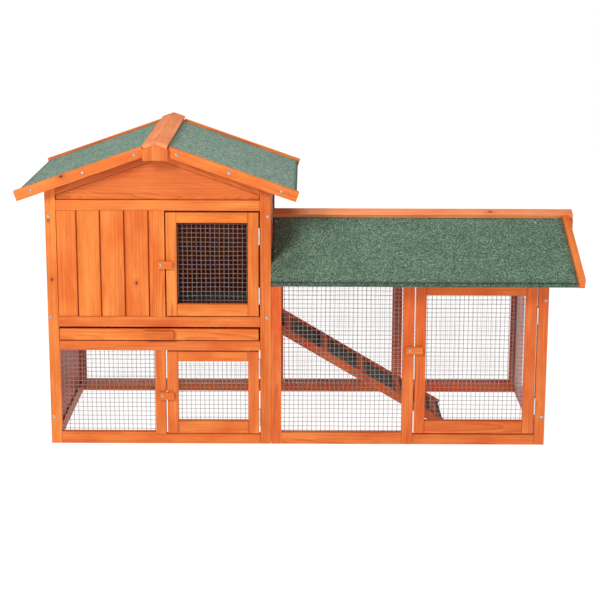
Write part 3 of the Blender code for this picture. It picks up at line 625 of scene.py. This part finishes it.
def felt_sheet(name, node, plane, side, c, top, d_out, e0, e1, mat, seed):
    """Felt laid on the slope, turned down over the eave edge. It lies slightly uneven, as felt does."""
    rng = random.Random(seed)
    waves = [(rng.uniform(4, 16), rng.uniform(4, 18), rng.uniform(0, 6.28), rng.uniform(0.08, 0.22)) for _ in range(7)]
    fine = [(rng.uniform(60, 150), rng.uniform(60, 150), rng.uniform(0, 6.28), rng.uniform(0.02, 0.05)) for _ in range(6)]
    thick, r = 2.6, 3.2
    length = d_out / COS
    path = []                       # (distance along slope, depth below the felt line, inner offsets)
    n = int(length / 7)
    for k in range(n + 1):
        s = (length - r - 2.0) * k / (n - 1) if k < n else length - r
        path.append((s, 0.25 if k >= n - 1 else 0.0, s, thick))
    for k in range(1, 5):
        a = math.pi / 2 * k / 4
        path.append((length - r + r * math.sin(a), r - r * math.cos(a),
                     length - r + (r - thick) * math.sin(a), r - (r - thick) * math.cos(a)))
    for k in range(1, 3):
        dd = r + (PANEL_T - r - 0.2) * k / 2
        path.append((length, dd, length - thick, dd))
    m = int((e1 - e0) / 9)

    def at(s, depth, e):
        h = d_in0 + s * COS - depth * SIN
        z = top - (d_in0 + s * COS) * SLOPE - depth * COS
        a = c + side * h
        return P(a, e, z) if plane == "XZ" else P(e, a, z)
    d_in0 = GAP / 2
    length_ok = (d_out - d_in0) / COS
    scale = length_ok / length
    bm = bmesh.new()
    worn = bm.verts.layers.float_vector.new("worn")
    grid = []
    for i, (s0, dp0, s1, dp1) in enumerate(path):
        row = []
        # the fold has cracked and shed its granules
        crack = {n - 2: 0.0, n - 1: 0.7, n: 1.0, n + 1: 1.0, n + 2: 0.6}.get(i, 0.4 if i > n else 0.0)
        edge_in = min(1.0, i / 3.0) * min(1.0, max(0.0, (length - 12 - s0) / 40.0))
        for j in range(m + 1):
            e = e0 + (e1 - e0) * j / m
            x, y = s0 * MM, e * MM
            lift = sum(A * math.sin(p * x + q * y + f) for p, q, f, A in waves)
            lift += sum(A * math.sin(p * x) * math.sin(q * y + f) for p, q, f, A in fine)
            lift = (lift - 0.35) * edge_in
            row.append((bm.verts.new(at(s0 * scale, dp0 - lift + 0.05, e)), bm.verts.new(at(s1 * scale, dp1 + 0.05, e))))
            row[-1][0][worn] = row[-1][1][worn] = Vector((crack, 0.0, 0.0))
        grid.append(row)
    for i in range(len(grid) - 1):
        for j in range(m):
            bm.faces.new((grid[i][j][0], grid[i + 1][j][0], grid[i + 1][j + 1][0], grid[i][j + 1][0]))
            bm.faces.new((grid[i][j][1], grid[i][j + 1][1], grid[i + 1][j + 1][1], grid[i + 1][j][1]))
        for j in (0, m):
            bm.faces.new((grid[i][j][0], grid[i][j][1], grid[i + 1][j][1], grid[i + 1][j][0]))
    for i in (0, len(grid) - 1):
        for j in range(m):
            bm.faces.new((grid[i][j][0], grid[i][j + 1][0], grid[i][j + 1][1], grid[i][j][1]))
    bmesh.ops.recalc_face_normals(bm, faces=bm.faces)
    ob = emit(name, bm, "hutch", mat, [node])
    # the board under the felt
    t = Timber(seed + 1)
    u = top - thick / COS - 0.3
    t.board(slope_board(side, c, u, d_in0, d_out - thick * COS - 0.6, PANEL_T - thick - 0.5), plane, e0 + 0.5, e1 - 0.5,
            section=True, bevel=0.3, auto=False)
    t.done(name + "_underboard", "hutch", [node], PLY)
    return ob


def roofs():
    y0, y1 = ROOF_Y0 + BARGE_T + GAP, 2 * RIDGE_Y - ROOF_Y0 - BARGE_T - GAP
    yb0, yb1 = ROOF_Y0, 2 * RIDGE_Y - ROOF_Y0
    deg = math.degrees(PITCH)
    for side, tag in ((-1, "left"), (1, "right")):
        felt_sheet("house_felt_" + tag, "roof_panel_" + tag, "XZ", side, HXC, FELT_TOP, EAVE_DX, y0, y1, FELT_HOUSE_PAINTED_SHEEN,
                   100 + side)
        for (a, b), end in (((yb0, yb0 + BARGE_T), "front"), ((yb1 - BARGE_T, yb1), "back")):
            t = Timber(120 + side * 3 + (7 if end == "back" else 0))
            knots = ((51.2, 725.5, 3.6),) if (side, end) == (-1, "front") else ()
            t.board(barge(side, HXC, FELT_TOP, BARGE_UP, TIP_DX, CAP_W * COS + 0.9), "XZ", a, b, -side * deg,
                    bevel=0.9, knots=knots, value=0.3 if end == "front" else 0.9, hue=0.15)
            t.done("bargeboard_%s_%s_timber" % (end, tag), "hutch", ["bargeboard_%s_%s" % (end, tag)])
        t = Timber(140 + side)
        # painted sheen: the cap is toned lighter, standing in for top light on it
        t.board(slope_board(side, HXC, FELT_TOP + GAP + CAP_T / COS, GAP / 2, CAP_W * COS, CAP_T), "XZ",
                yb0 - BLOCK_T, yb1 + BLOCK_T, section=True, bevel=0.8, value=1.0, hue=-0.2)
        t.done("ridge_cap_%s_timber" % tag, "hutch", ["ridge_cap_" + tag], CAP_WOOD_PAINTED_SHEEN)
    for tag, a, b in (("front", yb0 - BLOCK_T, yb0 - GAP), ("back", yb1 + GAP, yb1 + BLOCK_T)):
        t = Timber(150 + len(tag))
        t.board(block_section(HXC, FELT_TOP), "XZ", a, b, 90, bevel=0.9, value=-0.9, hue=-0.1)
        t.done("ridge_block_%s_timber" % tag, "hutch", ["ridge_block_" + tag])
    for side, tag in ((-1, "front"), (1, "back")):
        felt_sheet("run_felt_" + tag, "run_roof_panel_" + tag, "YZ", side, RIDGE_Y, RUN_FELT_TOP, RUN_EAVE_DY, RUN_X0,
                   RUN_PANEL_X1, FELT_RUN, 160 + side)
        t = Timber(170 + side)
        t.board(barge(side, RIDGE_Y, RUN_FELT_TOP, RUN_BARGE_UP, RUN_EAVE_DY, RUN_CAP_W * COS + 0.9), "YZ",
                RUN_PANEL_X1 + GAP, RUN_PANEL_X1 + GAP + BARGE_T, -side * deg, bevel=0.9, value=0.5, hue=0.0)
        t.done("run_bargeboard_%s_timber" % tag, "hutch", ["run_bargeboard_" + tag])
        t = Timber(180 + side)
        knots = ((RIDGE_Y + side * 16, 1180.3, 4.0),) if side < 0 else ()
        # painted sheen: the cap is toned lighter, standing in for top light on it
        t.board(slope_board(side, RIDGE_Y, RUN_FELT_TOP + GAP + RUN_CAP_T / COS, GAP / 2, RUN_CAP_W * COS, RUN_CAP_T),
                "YZ", RUN_X0, RUN_BLOCK_X1, section=True, bevel=0.8, knots=knots, value=1.2, hue=-0.1)
        t.done("run_ridge_cap_%s_timber" % tag, "hutch", ["run_ridge_cap_" + tag], CAP_WOOD_PAINTED_SHEEN)
    t = Timber(190)
    t.board(block_section(RIDGE_Y, RUN_FELT_TOP), "YZ", RUN_PANEL_X1 + 2 * GAP + BARGE_T, RUN_BLOCK_X1, 90, bevel=0.9)
    t.done("run_ridge_block_timber", "hutch", ["run_ridge_block"])


# ------------------------------------------------------------------ run panels
def run():
    t = Timber(211)
    a = (dict(value=-0.55, hue=-0.5), dict(value=-0.45, hue=-0.4), dict(value=-0.5, hue=-0.3))
    stud(t, RUN_X0 - J, 613, 0, RUN_TOP[1], **a[0])
    stud(t, 933.5, 963, 0, RUN_TOP[1], **a[1])
    stud(t, 1287, RUN_X1 + J, 0, RUN_TOP[1], **a[2])
    rail(t, 613, 933.5, 0, 32, value=-0.45, hue=-0.2)
    rail(t, 963, 1287, 0, 27.5, value=-0.5, hue=-0.2)
    rail(t, 613, 933.5, *RUN_TOP, value=-0.5)
    rail(t, 963, 1287, *RUN_TOP, value=-0.5)
    t.done("run_front_battens", "hutch", ["run_front_frame"])
    # right end
    # painted shade: the inward faces of the run end battens are darkened
    t = Timber(221, lambda x, y, z: PAINTED_INWARD_SHADE if x < RUN_X1 - 9 else 0.0)
    x0, x1 = RUN_X1 - T, RUN_X1

    def top(y):
        return run_under(y) - 0.5
    drop = BAT / COS
    t.board([(SY0, 0), (SY0 + BAT - J, 0), (SY0 + BAT - J, top(SY0 + BAT) - drop), (SY0, top(SY0) - drop)], "YZ", x0, x1, 90, auto=True)
    t.board([(SY1 - BAT + J, 0), (SY1, 0), (SY1, top(SY1) - drop), (SY1 - BAT + J, top(SY1 - BAT) - drop)], "YZ", x0, x1, 90, auto=True)
    rail(t, SY0 + BAT, SY1 - BAT, 0, 33, "YZ", x0, x1, auto=True)
    deg = math.degrees(PITCH)
    for s, yo in ((-1, SY0), (1, SY1)):
        yi = RIDGE_Y + s * J
        t.board([(yo, top(yo) - drop + 2 * J), (yi, top(yi) - drop + 2 * J), (yi, top(yi)), (yo, top(yo))], "YZ", x0, x1, -s * deg, auto=True)
    ya, yb = SY0 + BAT, SY1 - BAT
    zt = 468.0
    cut = lambda z: (top(RIDGE_Y) - drop - z) / SLOPE
    w440, w468 = cut(440) , cut(zt)
    t.board([(ya + J, 440), (yb - J, 440), (yb - J, min(zt, top(yb) - drop)), (RIDGE_Y + w468, zt),
             (RIDGE_Y - w468, zt), (ya + J, min(zt, top(ya) - drop))], "YZ", x0, x1, 0, auto=True)
    t.done("run_end_battens", "hutch", ["run_side_frame"])
    # back
    # painted shade: the inward faces of the run back battens are darkened
    t = Timber(231, lambda x, y, z: PAINTED_INWARD_SHADE if y < DEPTH - 9 else 0.0)
    d0, d1 = DEPTH - T, DEPTH
    stud(t, RUN_X0 - J, 611, 0, RUN_TOP[1], "XZ", d0, d1, auto=True)
    stud(t, 931.5, 960.5, 0, RUN_TOP[1], "XZ", d0, d1, auto=True)
    stud(t, 1280, RUN_X1 + J, 0, RUN_TOP[1], "XZ", d0, d1, auto=True)
    for p, q in ((611, 931.5), (960.5, 1280)):
        rail(t, p, q, 0, 33, "XZ", d0, d1, auto=True)
        rail(t, p, q, 453, RUN_TOP[1], "XZ", d0, d1, auto=True)
    t.done("run_back_battens", "hutch", ["run_back_frame"])


# ------------------------------------------------------------------ doors, buttons, tray, ramp
def door(tag, spec, seed, tones):
    x0, x1, z0, z1, ls, rs, br, tr = spec
    t = Timber(seed)
    t.board(rect(x0, x0 + ls - J, z0, z1), "XZ", 0, T, 90, value=tones[0], hue=tones[1])
    t.board(rect(x1 - rs + J, x1, z0, z1), "XZ", 0, T, 90, value=tones[0] - 0.1, hue=tones[1])
    t.board(rect(x0 + ls + J, x1 - rs - J, z1 - tr, z1), "XZ", 0, T, 0, value=tones[0] + 0.1, hue=tones[1] + 0.3)
    t.board(rect(x0 + ls + J, x1 - rs - J, z0, z0 + br), "XZ", 0, T, 0, value=tones[0], hue=tones[1] + 0.1)
    t.done(tag + "_door_battens", tag + "_door", [tag + "_door_frame"])


def screw_head(bm, x, y, z, normal, r=4.0, turn=0.4):
    """Low pan head with a cross recess, its axis along `normal`, seated on the surface."""
    n = Vector(normal).normalized()
    a = n.orthogonal().normalized()
    b = n.cross(a)
    a, b = a * math.cos(turn) + b * math.sin(turn), b * math.cos(turn) - a * math.sin(turn)
    o = P(x, y, z)
    rings = [(r, -0.1), (r, 0.5), (r * 0.93, 1.05), (r * 0.72, 1.5), (r * 0.5, 1.72)]
    seg = 24
    rows = []
    for rad, h in rings:
        rows.append([bm.verts.new(o + (a * math.cos(2 * math.pi * k / seg) * rad + b * math.sin(2 * math.pi * k / seg) * rad + n * h) * MM)
                     for k in range(seg)])
    for p, q in zip(rows, rows[1:]):
        for k in range(seg):
            bm.faces.new((p[k], p[(k + 1) % seg], q[(k + 1) % seg], q[k]))
    bm.faces.new(rows[0][::-1])
    # recess: a cross sunk in the crown, fanned to the inner ring
    cross = []
    lw, ll = r * 0.13, r * 0.40
    for k in range(4):
        c, s = math.cos(math.pi / 2 * k), math.sin(math.pi / 2 * k)
        for px, py in ((ll, -lw), (ll, lw), (lw, lw)):
            cross.append((px * c - py * s, px * s + py * c))
    lip = [bm.verts.new(o + (a * px + b * py + n * 1.78) * MM) for px, py in cross]
    deep = [bm.verts.new(o + (a * px * 0.75 + b * py * 0.75 + n * 0.75) * MM) for px, py in cross]
    m = len(lip)
    for k in range(m):
        bm.faces.new((lip[k], lip[(k + 1) % m], deep[(k + 1) % m], deep[k]))
    bm.faces.new(deep)
    # crown between the inner ring (24) and the lip (12)
    ring = rows[-1]
    ang = [math.atan2(py, px) % (2 * math.pi) for px, py in cross]
    order = sorted(range(m), key=lambda i: ang[i])
    near = lambda k: min(order, key=lambda i: abs((ang[i] - 2 * math.pi * (k % seg) / seg + math.pi) % (2 * math.pi) - math.pi))
    for k in range(seg):
        i, j = near(k), near(k + 1)
        if i == j:
            bm.faces.new((ring[k], ring[(k + 1) % seg], lip[i]))
        else:
            steps = [i]
            pos = order.index(i)
            while steps[-1] != j and len(steps) < m:
                pos += 1
                steps.append(order[pos % m])
            bm.faces.new((ring[k], ring[(k + 1) % seg], lip[steps[-1]]))
            for s0, s1 in zip(steps, steps[1:]):
                bm.faces.new((ring[k], lip[s1], lip[s0]))


def screws(name, body, spots, mat=None, r=4.0):
    bm = bmesh.new()
    rng = random.Random(len(name) * 7 + len(spots))
    for x, y, z, nrm in spots:
        screw_head(bm, x, y, z, nrm, r, rng.uniform(0, 1.5))
    bmesh.ops.recalc_face_normals(bm, faces=bm.faces)
    emit(name, bm, body, mat or SCREW, (), True)


def button(tag, spec, seed, hue):
    sx, sz, left, right, half = spec
    c = 2.2
    x0, x1, z0, z1 = sx - left, sx + right, sz - half, sz + half
    t = Timber(seed)
    poly = []
    for cx, cz, a0 in ((x1 - c, z0 + c, -90), (x1 - c, z1 - c, 0), (x0 + c, z1 - c, 90), (x0 + c, z0 + c, 180)):
        for k in range(4):
            a = math.radians(a0 + 30 * k)
            poly.append((cx + c * math.cos(a), cz + c * math.sin(a)))
    t.board(poly, "XZ", -GAP - 10.0, -GAP, 0, bevel=1.0, value=-0.2, hue=0.2 + hue)
    t.done(tag + "_button_timber", tag + "_button", [tag + "_turn_button"])
    screws(tag + "_button_screw", tag + "_button", [(sx, -GAP - 10.0, sz, (0, -1, 0))], r=3.6)


def tray():
    t = Timber(301)
    t.board(rect(29, 553.2, 285, 315), "XZ", 0, 12, 0, bevel=1.0, value=0.25, hue=0.2)
    t.done("tray_front_timber", "tray", ["tray_front"])
    t = Timber(303)
    t.board(rect(252.7, 331, 288.6, 312.4), "XZ", -15, -GAP, 0, bevel=2.0, value=-0.9, hue=0.1)
    t.done("tray_handle_timber", "tray", ["tray_handle"])


def ramp():
    beta = math.atan(RAMP_TAN)
    sb, cb = math.sin(beta), math.cos(beta)
    z_end = RAMP_H * cb
    z_top = z_end + (RAMP_X1 - RAMP_X0) * RAMP_TAN

    def strip(w0, w1):
        return [(RAMP_X0, z_top - w0 / cb), (RAMP_X1 - w0 * sb, z_end - w0 * cb), (RAMP_X1 - w1 * sb, z_end - w1 * cb),
                (RAMP_X0, z_top - w1 / cb)]
    deg = -math.degrees(beta)
    # painted shade: the whole ramp frame is darkened, standing in for the shade inside the run
    t = Timber(311, lambda x, y, z: 0.40)
    t.board(strip(0, RAMP_H), "XZ", RAMP_Y0, RAMP_Y0 + STRINGER_T, deg, auto=True, value=-0.4)
    t.board(strip(0, RAMP_H), "XZ", RAMP_Y1 - STRINGER_T, RAMP_Y1, deg, auto=True, value=-0.4)
    for u in CLEATS:
        a, b = u - CLEAT_W / 2, u + CLEAT_W / 2
        pt = lambda s, w: (RAMP_X0 + s * cb - w * sb, z_top - s * sb - w * cb)
        t.board([pt(a, 0.8), pt(b, 0.8), pt(b, 7.7), pt(a, 7.7)], "XZ", RAMP_Y0 + STRINGER_T + J, RAMP_Y1 - STRINGER_T - J,
                section=True, bevel=0.9, value=-0.35)
    t.done("ramp_timber", "hutch", ["ramp_frame"])
    ya, yb = RAMP_Y0 + STRINGER_T + GAP, RAMP_Y1 - STRINGER_T - GAP
    t = Timber(317)
    t.board(strip(10.2, 16), "XZ", ya, yb, deg, bevel=0.3)
    t.done("ramp_deck_board", "hutch", ["ramp_deck"], PLY)
    # felt on the deck, with the slight lift it has between the cleats
    bm = bmesh.new()
    length = (RAMP_X1 - RAMP_X0) / cb
    n, m = 120, 36
    rng = random.Random(5)
    wv = [(rng.uniform(10, 40), rng.uniform(10, 60), rng.uniform(0, 6.28), rng.uniform(0.05, 0.12)) for _ in range(6)]
    grid = []
    for i in range(n + 1):
        s = length * i / n
        row = []
        for j in range(m + 1):
            y = ya + (yb - ya) * j / m
            lift = sum(A * math.sin(p * s * MM + q * y * MM + f) for p, q, f, A in wv) if 0 < i < n and 0 < j < m else 0.0
            on = min((abs(s - c) for c in CLEATS)) > CLEAT_W / 2 + 1
            w = 8.3 - (max(-0.2, min(0.25, lift)) if on else 0.0)

            def pt(w):
                x = RAMP_X0 + s * cb - w * sb * (1 if i == n else i / n)
                return P(x, y, z_top - (x - RAMP_X0) * RAMP_TAN - w / cb)
            row.append((bm.verts.new(pt(w)), bm.verts.new(pt(10.1))))
        grid.append(row)
    for i in range(n):
        for j in range(m):
            bm.faces.new((grid[i][j][0], grid[i + 1][j][0], grid[i + 1][j + 1][0], grid[i][j + 1][0]))
            bm.faces.new((grid[i][j][1], grid[i][j + 1][1], grid[i + 1][j + 1][1], grid[i + 1][j][1]))
        for j in (0, m):
            bm.faces.new((grid[i][j][0], grid[i][j][1], grid[i + 1][j][1], grid[i + 1][j][0]))
    for i in (0, n):
        for j in range(m):
            bm.faces.new((grid[i][j][0], grid[i][j + 1][0], grid[i][j + 1][1], grid[i][j][1]))
    bmesh.ops.recalc_face_normals(bm, faces=bm.faces)
    emit("ramp_felt", bm, "hutch", FELT_RAMP, ["ramp_deck"])


# ------------------------------------------------------------------ wire mesh
PITCH_MM = 12.0
WIRE_R = 0.65
WIRE_R_FAR = 0.40


def wire_grid(name, node, body, plane, a0, a1, b0, b1, d, out, seed, top=None, mat=None, wire_r=WIRE_R):
    """Welded mesh: upright wires on the side `out`, level wires behind. top(a) trims it under a slope.
    Both sets follow one soft wave, so the crossings stay welded."""
    rng = random.Random(seed)
    ws = [(rng.uniform(8, 40), rng.uniform(8, 40), rng.uniform(0, 6.28), rng.uniform(0, 6.28)) for _ in range(5)]

    def place(a, b, depth):
        x, y = a * MM, b * MM
        sa = sum(math.sin(p * x + q * y + f) for p, q, f, g in ws) * 0.13
        sb = sum(math.sin(q * x - p * y + g) for p, q, f, g in ws) * 0.13
        sd = sum(math.sin(p * x - q * y + f + g) for p, q, f, g in ws) * 0.07
        a, b, dd = a + sa, b + sb, d + depth - out * abs(sd)
        return P(a, dd, b) if plane == "XZ" else P(dd, a, b)
    bm = bmesh.new()
    sides = 6

    def tube(points):
        rows = []
        for i, p in enumerate(points):
            t = (points[min(i + 1, len(points) - 1)] - points[max(i - 1, 0)]).normalized()
            ref = Vector((0, 1, 0)) if plane == "XZ" else Vector((1, 0, 0))
            e1 = t.cross(ref).normalized()
            e2 = t.cross(e1)
            rows.append([bm.verts.new(p + (e1 * math.cos(2 * math.pi * k / sides) + e2 * math.sin(2 * math.pi * k / sides)) * wire_r * MM)
                         for k in range(sides)])
        for p, q in zip(rows, rows[1:]):
            for k in range(sides):
                bm.faces.new((p[k], p[(k + 1) % sides], q[(k + 1) % sides], q[k]))
        bm.faces.new(rows[0][::-1])
        bm.faces.new(rows[-1])

    na, nb = int((a1 - a0) / PITCH_MM), int((b1 - b0) / PITCH_MM)
    oa, ob_ = (a1 - a0 - na * PITCH_MM) / 2, (b1 - b0 - nb * PITCH_MM) / 2
    cols = [a0 + oa + k * PITCH_MM for k in range(na + 1)]
    levels = [b0 + ob_ + k * PITCH_MM for k in range(nb + 1)]
    for a in cols:
        hi = b1 if top is None else min(b1, top(a))
        steps = max(2, int((hi - b0) / 24))
        tube([place(a, b0 + (hi - b0) * k / steps, out * wire_r * 0.95) for k in range(steps + 1)])
    for b in levels:
        lo, hi = a0, a1
        if top is not None and top(a0) < b:
            inside = [a for a in cols if top(a) >= b]
            if len(inside) < 2:
                continue
            lo, hi = inside[0] - 3, inside[-1] + 3
        steps = max(2, int((hi - lo) / 24))
        tube([place(lo + (hi - lo) * k / steps, b, -out * wire_r * 0.8) for k in range(steps + 1)])
    bmesh.ops.recalc_face_normals(bm, faces=bm.faces)
    emit(name, bm, body, mat or WIRE, [node])


def meshes():
    d = T + GAP + 1.35
    wire_grid("house_front_wire", "house_front_mesh", "hutch", "XZ", 19, 292, 20.5, 267.5, d, -1, 1)
    for tag, spec, seed in (("upper", UPPER_DOOR, 2), ("lower", LOWER_DOOR, 3), ("run", RUN_DOOR, 4)):
        x0, x1, z0, z1, ls, rs, br, tr = spec
        wire_grid(tag + "_door_wire", tag + "_door_mesh", tag + "_door", "XZ", x0 + ls - 9.5, x1 - rs + 9.5, z0 + br - 9.5,
                  z1 - tr + 9.5, d, -1, seed)
    wire_grid("run_front_wire", "run_front_mesh", "hutch", "XZ", 597, 946, 20, 452, d, -1, 5)
    db = DEPTH - T - GAP - 1.35
    wire_grid("house_back_wire", "house_back_mesh", "hutch", "XZ", 19, 566, 22, 302, db, 1, 6, None, WIRE_FAR_PAINTED_LIGHT, WIRE_R_FAR)
    wire_grid("run_back_wire", "run_back_mesh", "hutch", "XZ", 597, 1292, 22, 464, db, 1, 7, None, WIRE_FAR_PAINTED_LIGHT, WIRE_R_FAR)
    wire_grid("run_end_wire", "run_side_mesh", "hutch", "YZ", SY0 + 12.5, SY1 - 12.5, 22, 560, RUN_X1 - T - GAP - 1.35, 1, 8,
              lambda y: run_under(y) - 12.5, WIRE_FAR_PAINTED_LIGHT, WIRE_R_FAR)


def fixings():
    f = (0, -1, 0)
    spots = [(9, 0, 614, f), (8, 0, 346, f), (8, 0, 73, f), (577, 0, 616, f), (575, 0, 346, f), (1306, 0, 396, f),
             (1305, 0, 78, f)]
    for dx in (321, 187, 54):
        for s in (-1, 1):
            x = HXC + s * dx
            z = FELT_TOP + BARGE_UP - SLOPE * dx - 0.5 * BARGE_W / COS
            spots.append((x, ROOF_Y0, z, f))
            spots.append((x, 2 * RIDGE_Y - ROOF_Y0, z, (0, 1, 0)))
    for x in (9, 576.5):
        for z in (120, 346, 614):
            spots.append((x, DEPTH, z, (0, 1, 0)))
    for x in (598, 1306):
        for z in (78, 396):
            spots.append((x, DEPTH, z, (0, 1, 0)))
    for s, dx in ((-1, 322), (1, 322), (-1, 190), (1, 190)):
        y = RIDGE_Y + s * dx
        z = RUN_FELT_TOP + RUN_BARGE_UP - SLOPE * dx - 0.5 * BARGE_W / COS
        spots.append((RUN_PANEL_X1 + GAP + BARGE_T, y, z, (1, 0, 0)))
    cap = FELT_TOP + GAP + CAP_T / COS
    spots.append((267.6, 36.8, cap - SLOPE * (HXC - 267.6), (-SIN, 0, COS)))
    spots.append((267.6, 486.0, cap - SLOPE * (HXC - 267.6), (-SIN, 0, COS)))
    rcap = RUN_FELT_TOP + GAP + RUN_CAP_T / COS
    for x in (679.5, 1310.4):
        for s in (-1, 1):
            spots.append((x, RIDGE_Y + s * 31.0 * 0.8, rcap - SLOPE * 31.0 * 0.8, (0, s * SIN, COS)))
    screws("assembly_screws", "hutch", spots)
    nails = [(595.2, 210.8), (595.3, 60.1), (1300.6, 207.9)]
    out = []
    for x, y in nails:
        for s in (-1, 1):
            yy = RIDGE_Y + s * (RIDGE_Y - y)
            out.append((x, yy, RUN_FELT_TOP - SLOPE * abs(yy - RIDGE_Y) + 0.3, (0, s * SIN, COS)))
    screws("felt_nails", "hutch", out, NAIL, r=3.4)


# ------------------------------------------------------------------ stage, light and camera
def stage():
    bm = bmesh.new()
    n = 24
    size = 76.0
    vs = [[bm.verts.new((size * (i / n - 0.5), size * (j / n - 0.5), -0.0002)) for j in range(n + 1)] for i in range(n + 1)]
    for i in range(n):
        for j in range(n):
            bm.faces.new((vs[i][j], vs[i + 1][j], vs[i + 1][j + 1], vs[i][j + 1]))
    me = bpy.data.meshes.new("floor")
    bm.to_mesh(me)
    bm.free()
    g = Graph("pale_floor")
    g.set(Base_Color=g.mix(g.noise(g.coords(), 3.0, 3.0), (0.13, 0.13, 0.13), (0.16, 0.16, 0.16)), Roughness=0.9)
    g.bsdf.inputs["Emission Color"].default_value = (1, 1, 1, 1)
    g.bsdf.inputs["Emission Strength"].default_value = 0.965
    me.materials.append(g.mat)
    ob = bpy.data.objects.new("floor", me)
    bpy.context.scene.collection.objects.link(ob)

    world = bpy.data.worlds.new("studio")
    bpy.context.scene.world = world
    world.use_nodes = True
    bg = world.node_tree.nodes["Background"]
    bg.inputs["Color"].default_value = (1.0, 1.0, 1.0, 1)
    bg.inputs["Strength"].default_value = 0.24

    def area(name, loc, target, size, power, color=(1, 1, 1)):
        li = bpy.data.lights.new(name, "AREA")
        li.shape = "RECTANGLE"
        li.size, li.size_y = size
        li.energy = power
        li.color = color
        o = bpy.data.objects.new(name, li)
        o.location = loc
        o.rotation_euler = (Vector(target) - Vector(loc)).to_track_quat("-Z", "Y").to_euler()
        bpy.context.scene.collection.objects.link(o)
    area("key", (-1.9, -3.6, 2.7), (0, 0, 0.45), (1.1, 1.1), 119, (1.0, 0.985, 0.96))
    area("fill", (2.6, -3.4, 1.7), (0, 0, 0.4), (1.6, 1.6), 22)
    area("top", (-0.2, 0.1, 3.3), (0, 0, 0.5), (2.4, 1.6), 42)

    cam = bpy.data.cameras.new("camera")
    cam.sensor_fit = "HORIZONTAL"
    cam.sensor_width = 36.0
    cam.lens = 1655.942 / 600.0 * 36.0
    cam.shift_x = (300.0 - 302.574) / 600.0
    cam.shift_y = (299.647 - 300.0) / 600.0
    cam.clip_start = 0.05
    o = bpy.data.objects.new("camera", cam)
    pitch, yaw, roll = 0.228397, -0.0017262, 0.0032743
    fwd = Vector((math.sin(yaw) * math.cos(pitch), math.cos(yaw) * math.cos(pitch), -math.sin(pitch)))
    right = Vector((math.cos(yaw), -math.sin(yaw), 0.0))
    up = right.cross(fwd)
    cx = right * math.cos(roll) + up * math.sin(roll)
    cy = -right * math.sin(roll) + up * math.cos(roll)
    rot = Matrix((cx, cy, -fwd)).transposed()
    o.matrix_world = Matrix.Translation((0.0098625, -4.4857913, 1.3780405)) @ rot.to_4x4()
    bpy.context.scene.collection.objects.link(o)
    bpy.context.scene.camera = o
    bpy.context.scene.view_settings.view_transform = "Standard"
    bpy.context.scene.view_settings.look = "None"


house()
roofs()
run()
door("upper", UPPER_DOOR, 241, (0.2, 0.4))
door("lower", LOWER_DOOR, 251, (-0.35, -0.2))
door("run", RUN_DOOR, 263, (-0.5, -0.4))
button("upper", (299.0, 488.6, 9.0, 31.0, 10.0), 271, -0.2)
button("lower", (298.0, 134.3, 7.0, 31.5, 9.8), 273, -0.2)
button("run", (952.0, 260.5, 10.0, 34.0, 10.0), 275, 0.3)
tray()
ramp()
meshes()
fixings()



def soften(ob, width):
    mod = ob.modifiers.new("softened", "BEVEL")
    mod.width = width * MM
    mod.segments = 2
    mod.limit_method = "ANGLE"
    mod.angle_limit = math.radians(40)


for tag in ("upper", "lower", "run"):
    for end in ("bottom", "top"):
        for leaf in ("door_leaf", "frame_leaf"):
            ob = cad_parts["%s_hinge_%s_%s" % (tag, end, leaf)]
            ob.data.materials.clear()
            ob.data.materials.append(ZINC)
            soften(ob, 0.25)
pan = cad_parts["tray_pan"]
pan.data.materials.clear()
pan.data.materials.append(TRAY)
soften(pan, 0.5)

stage()
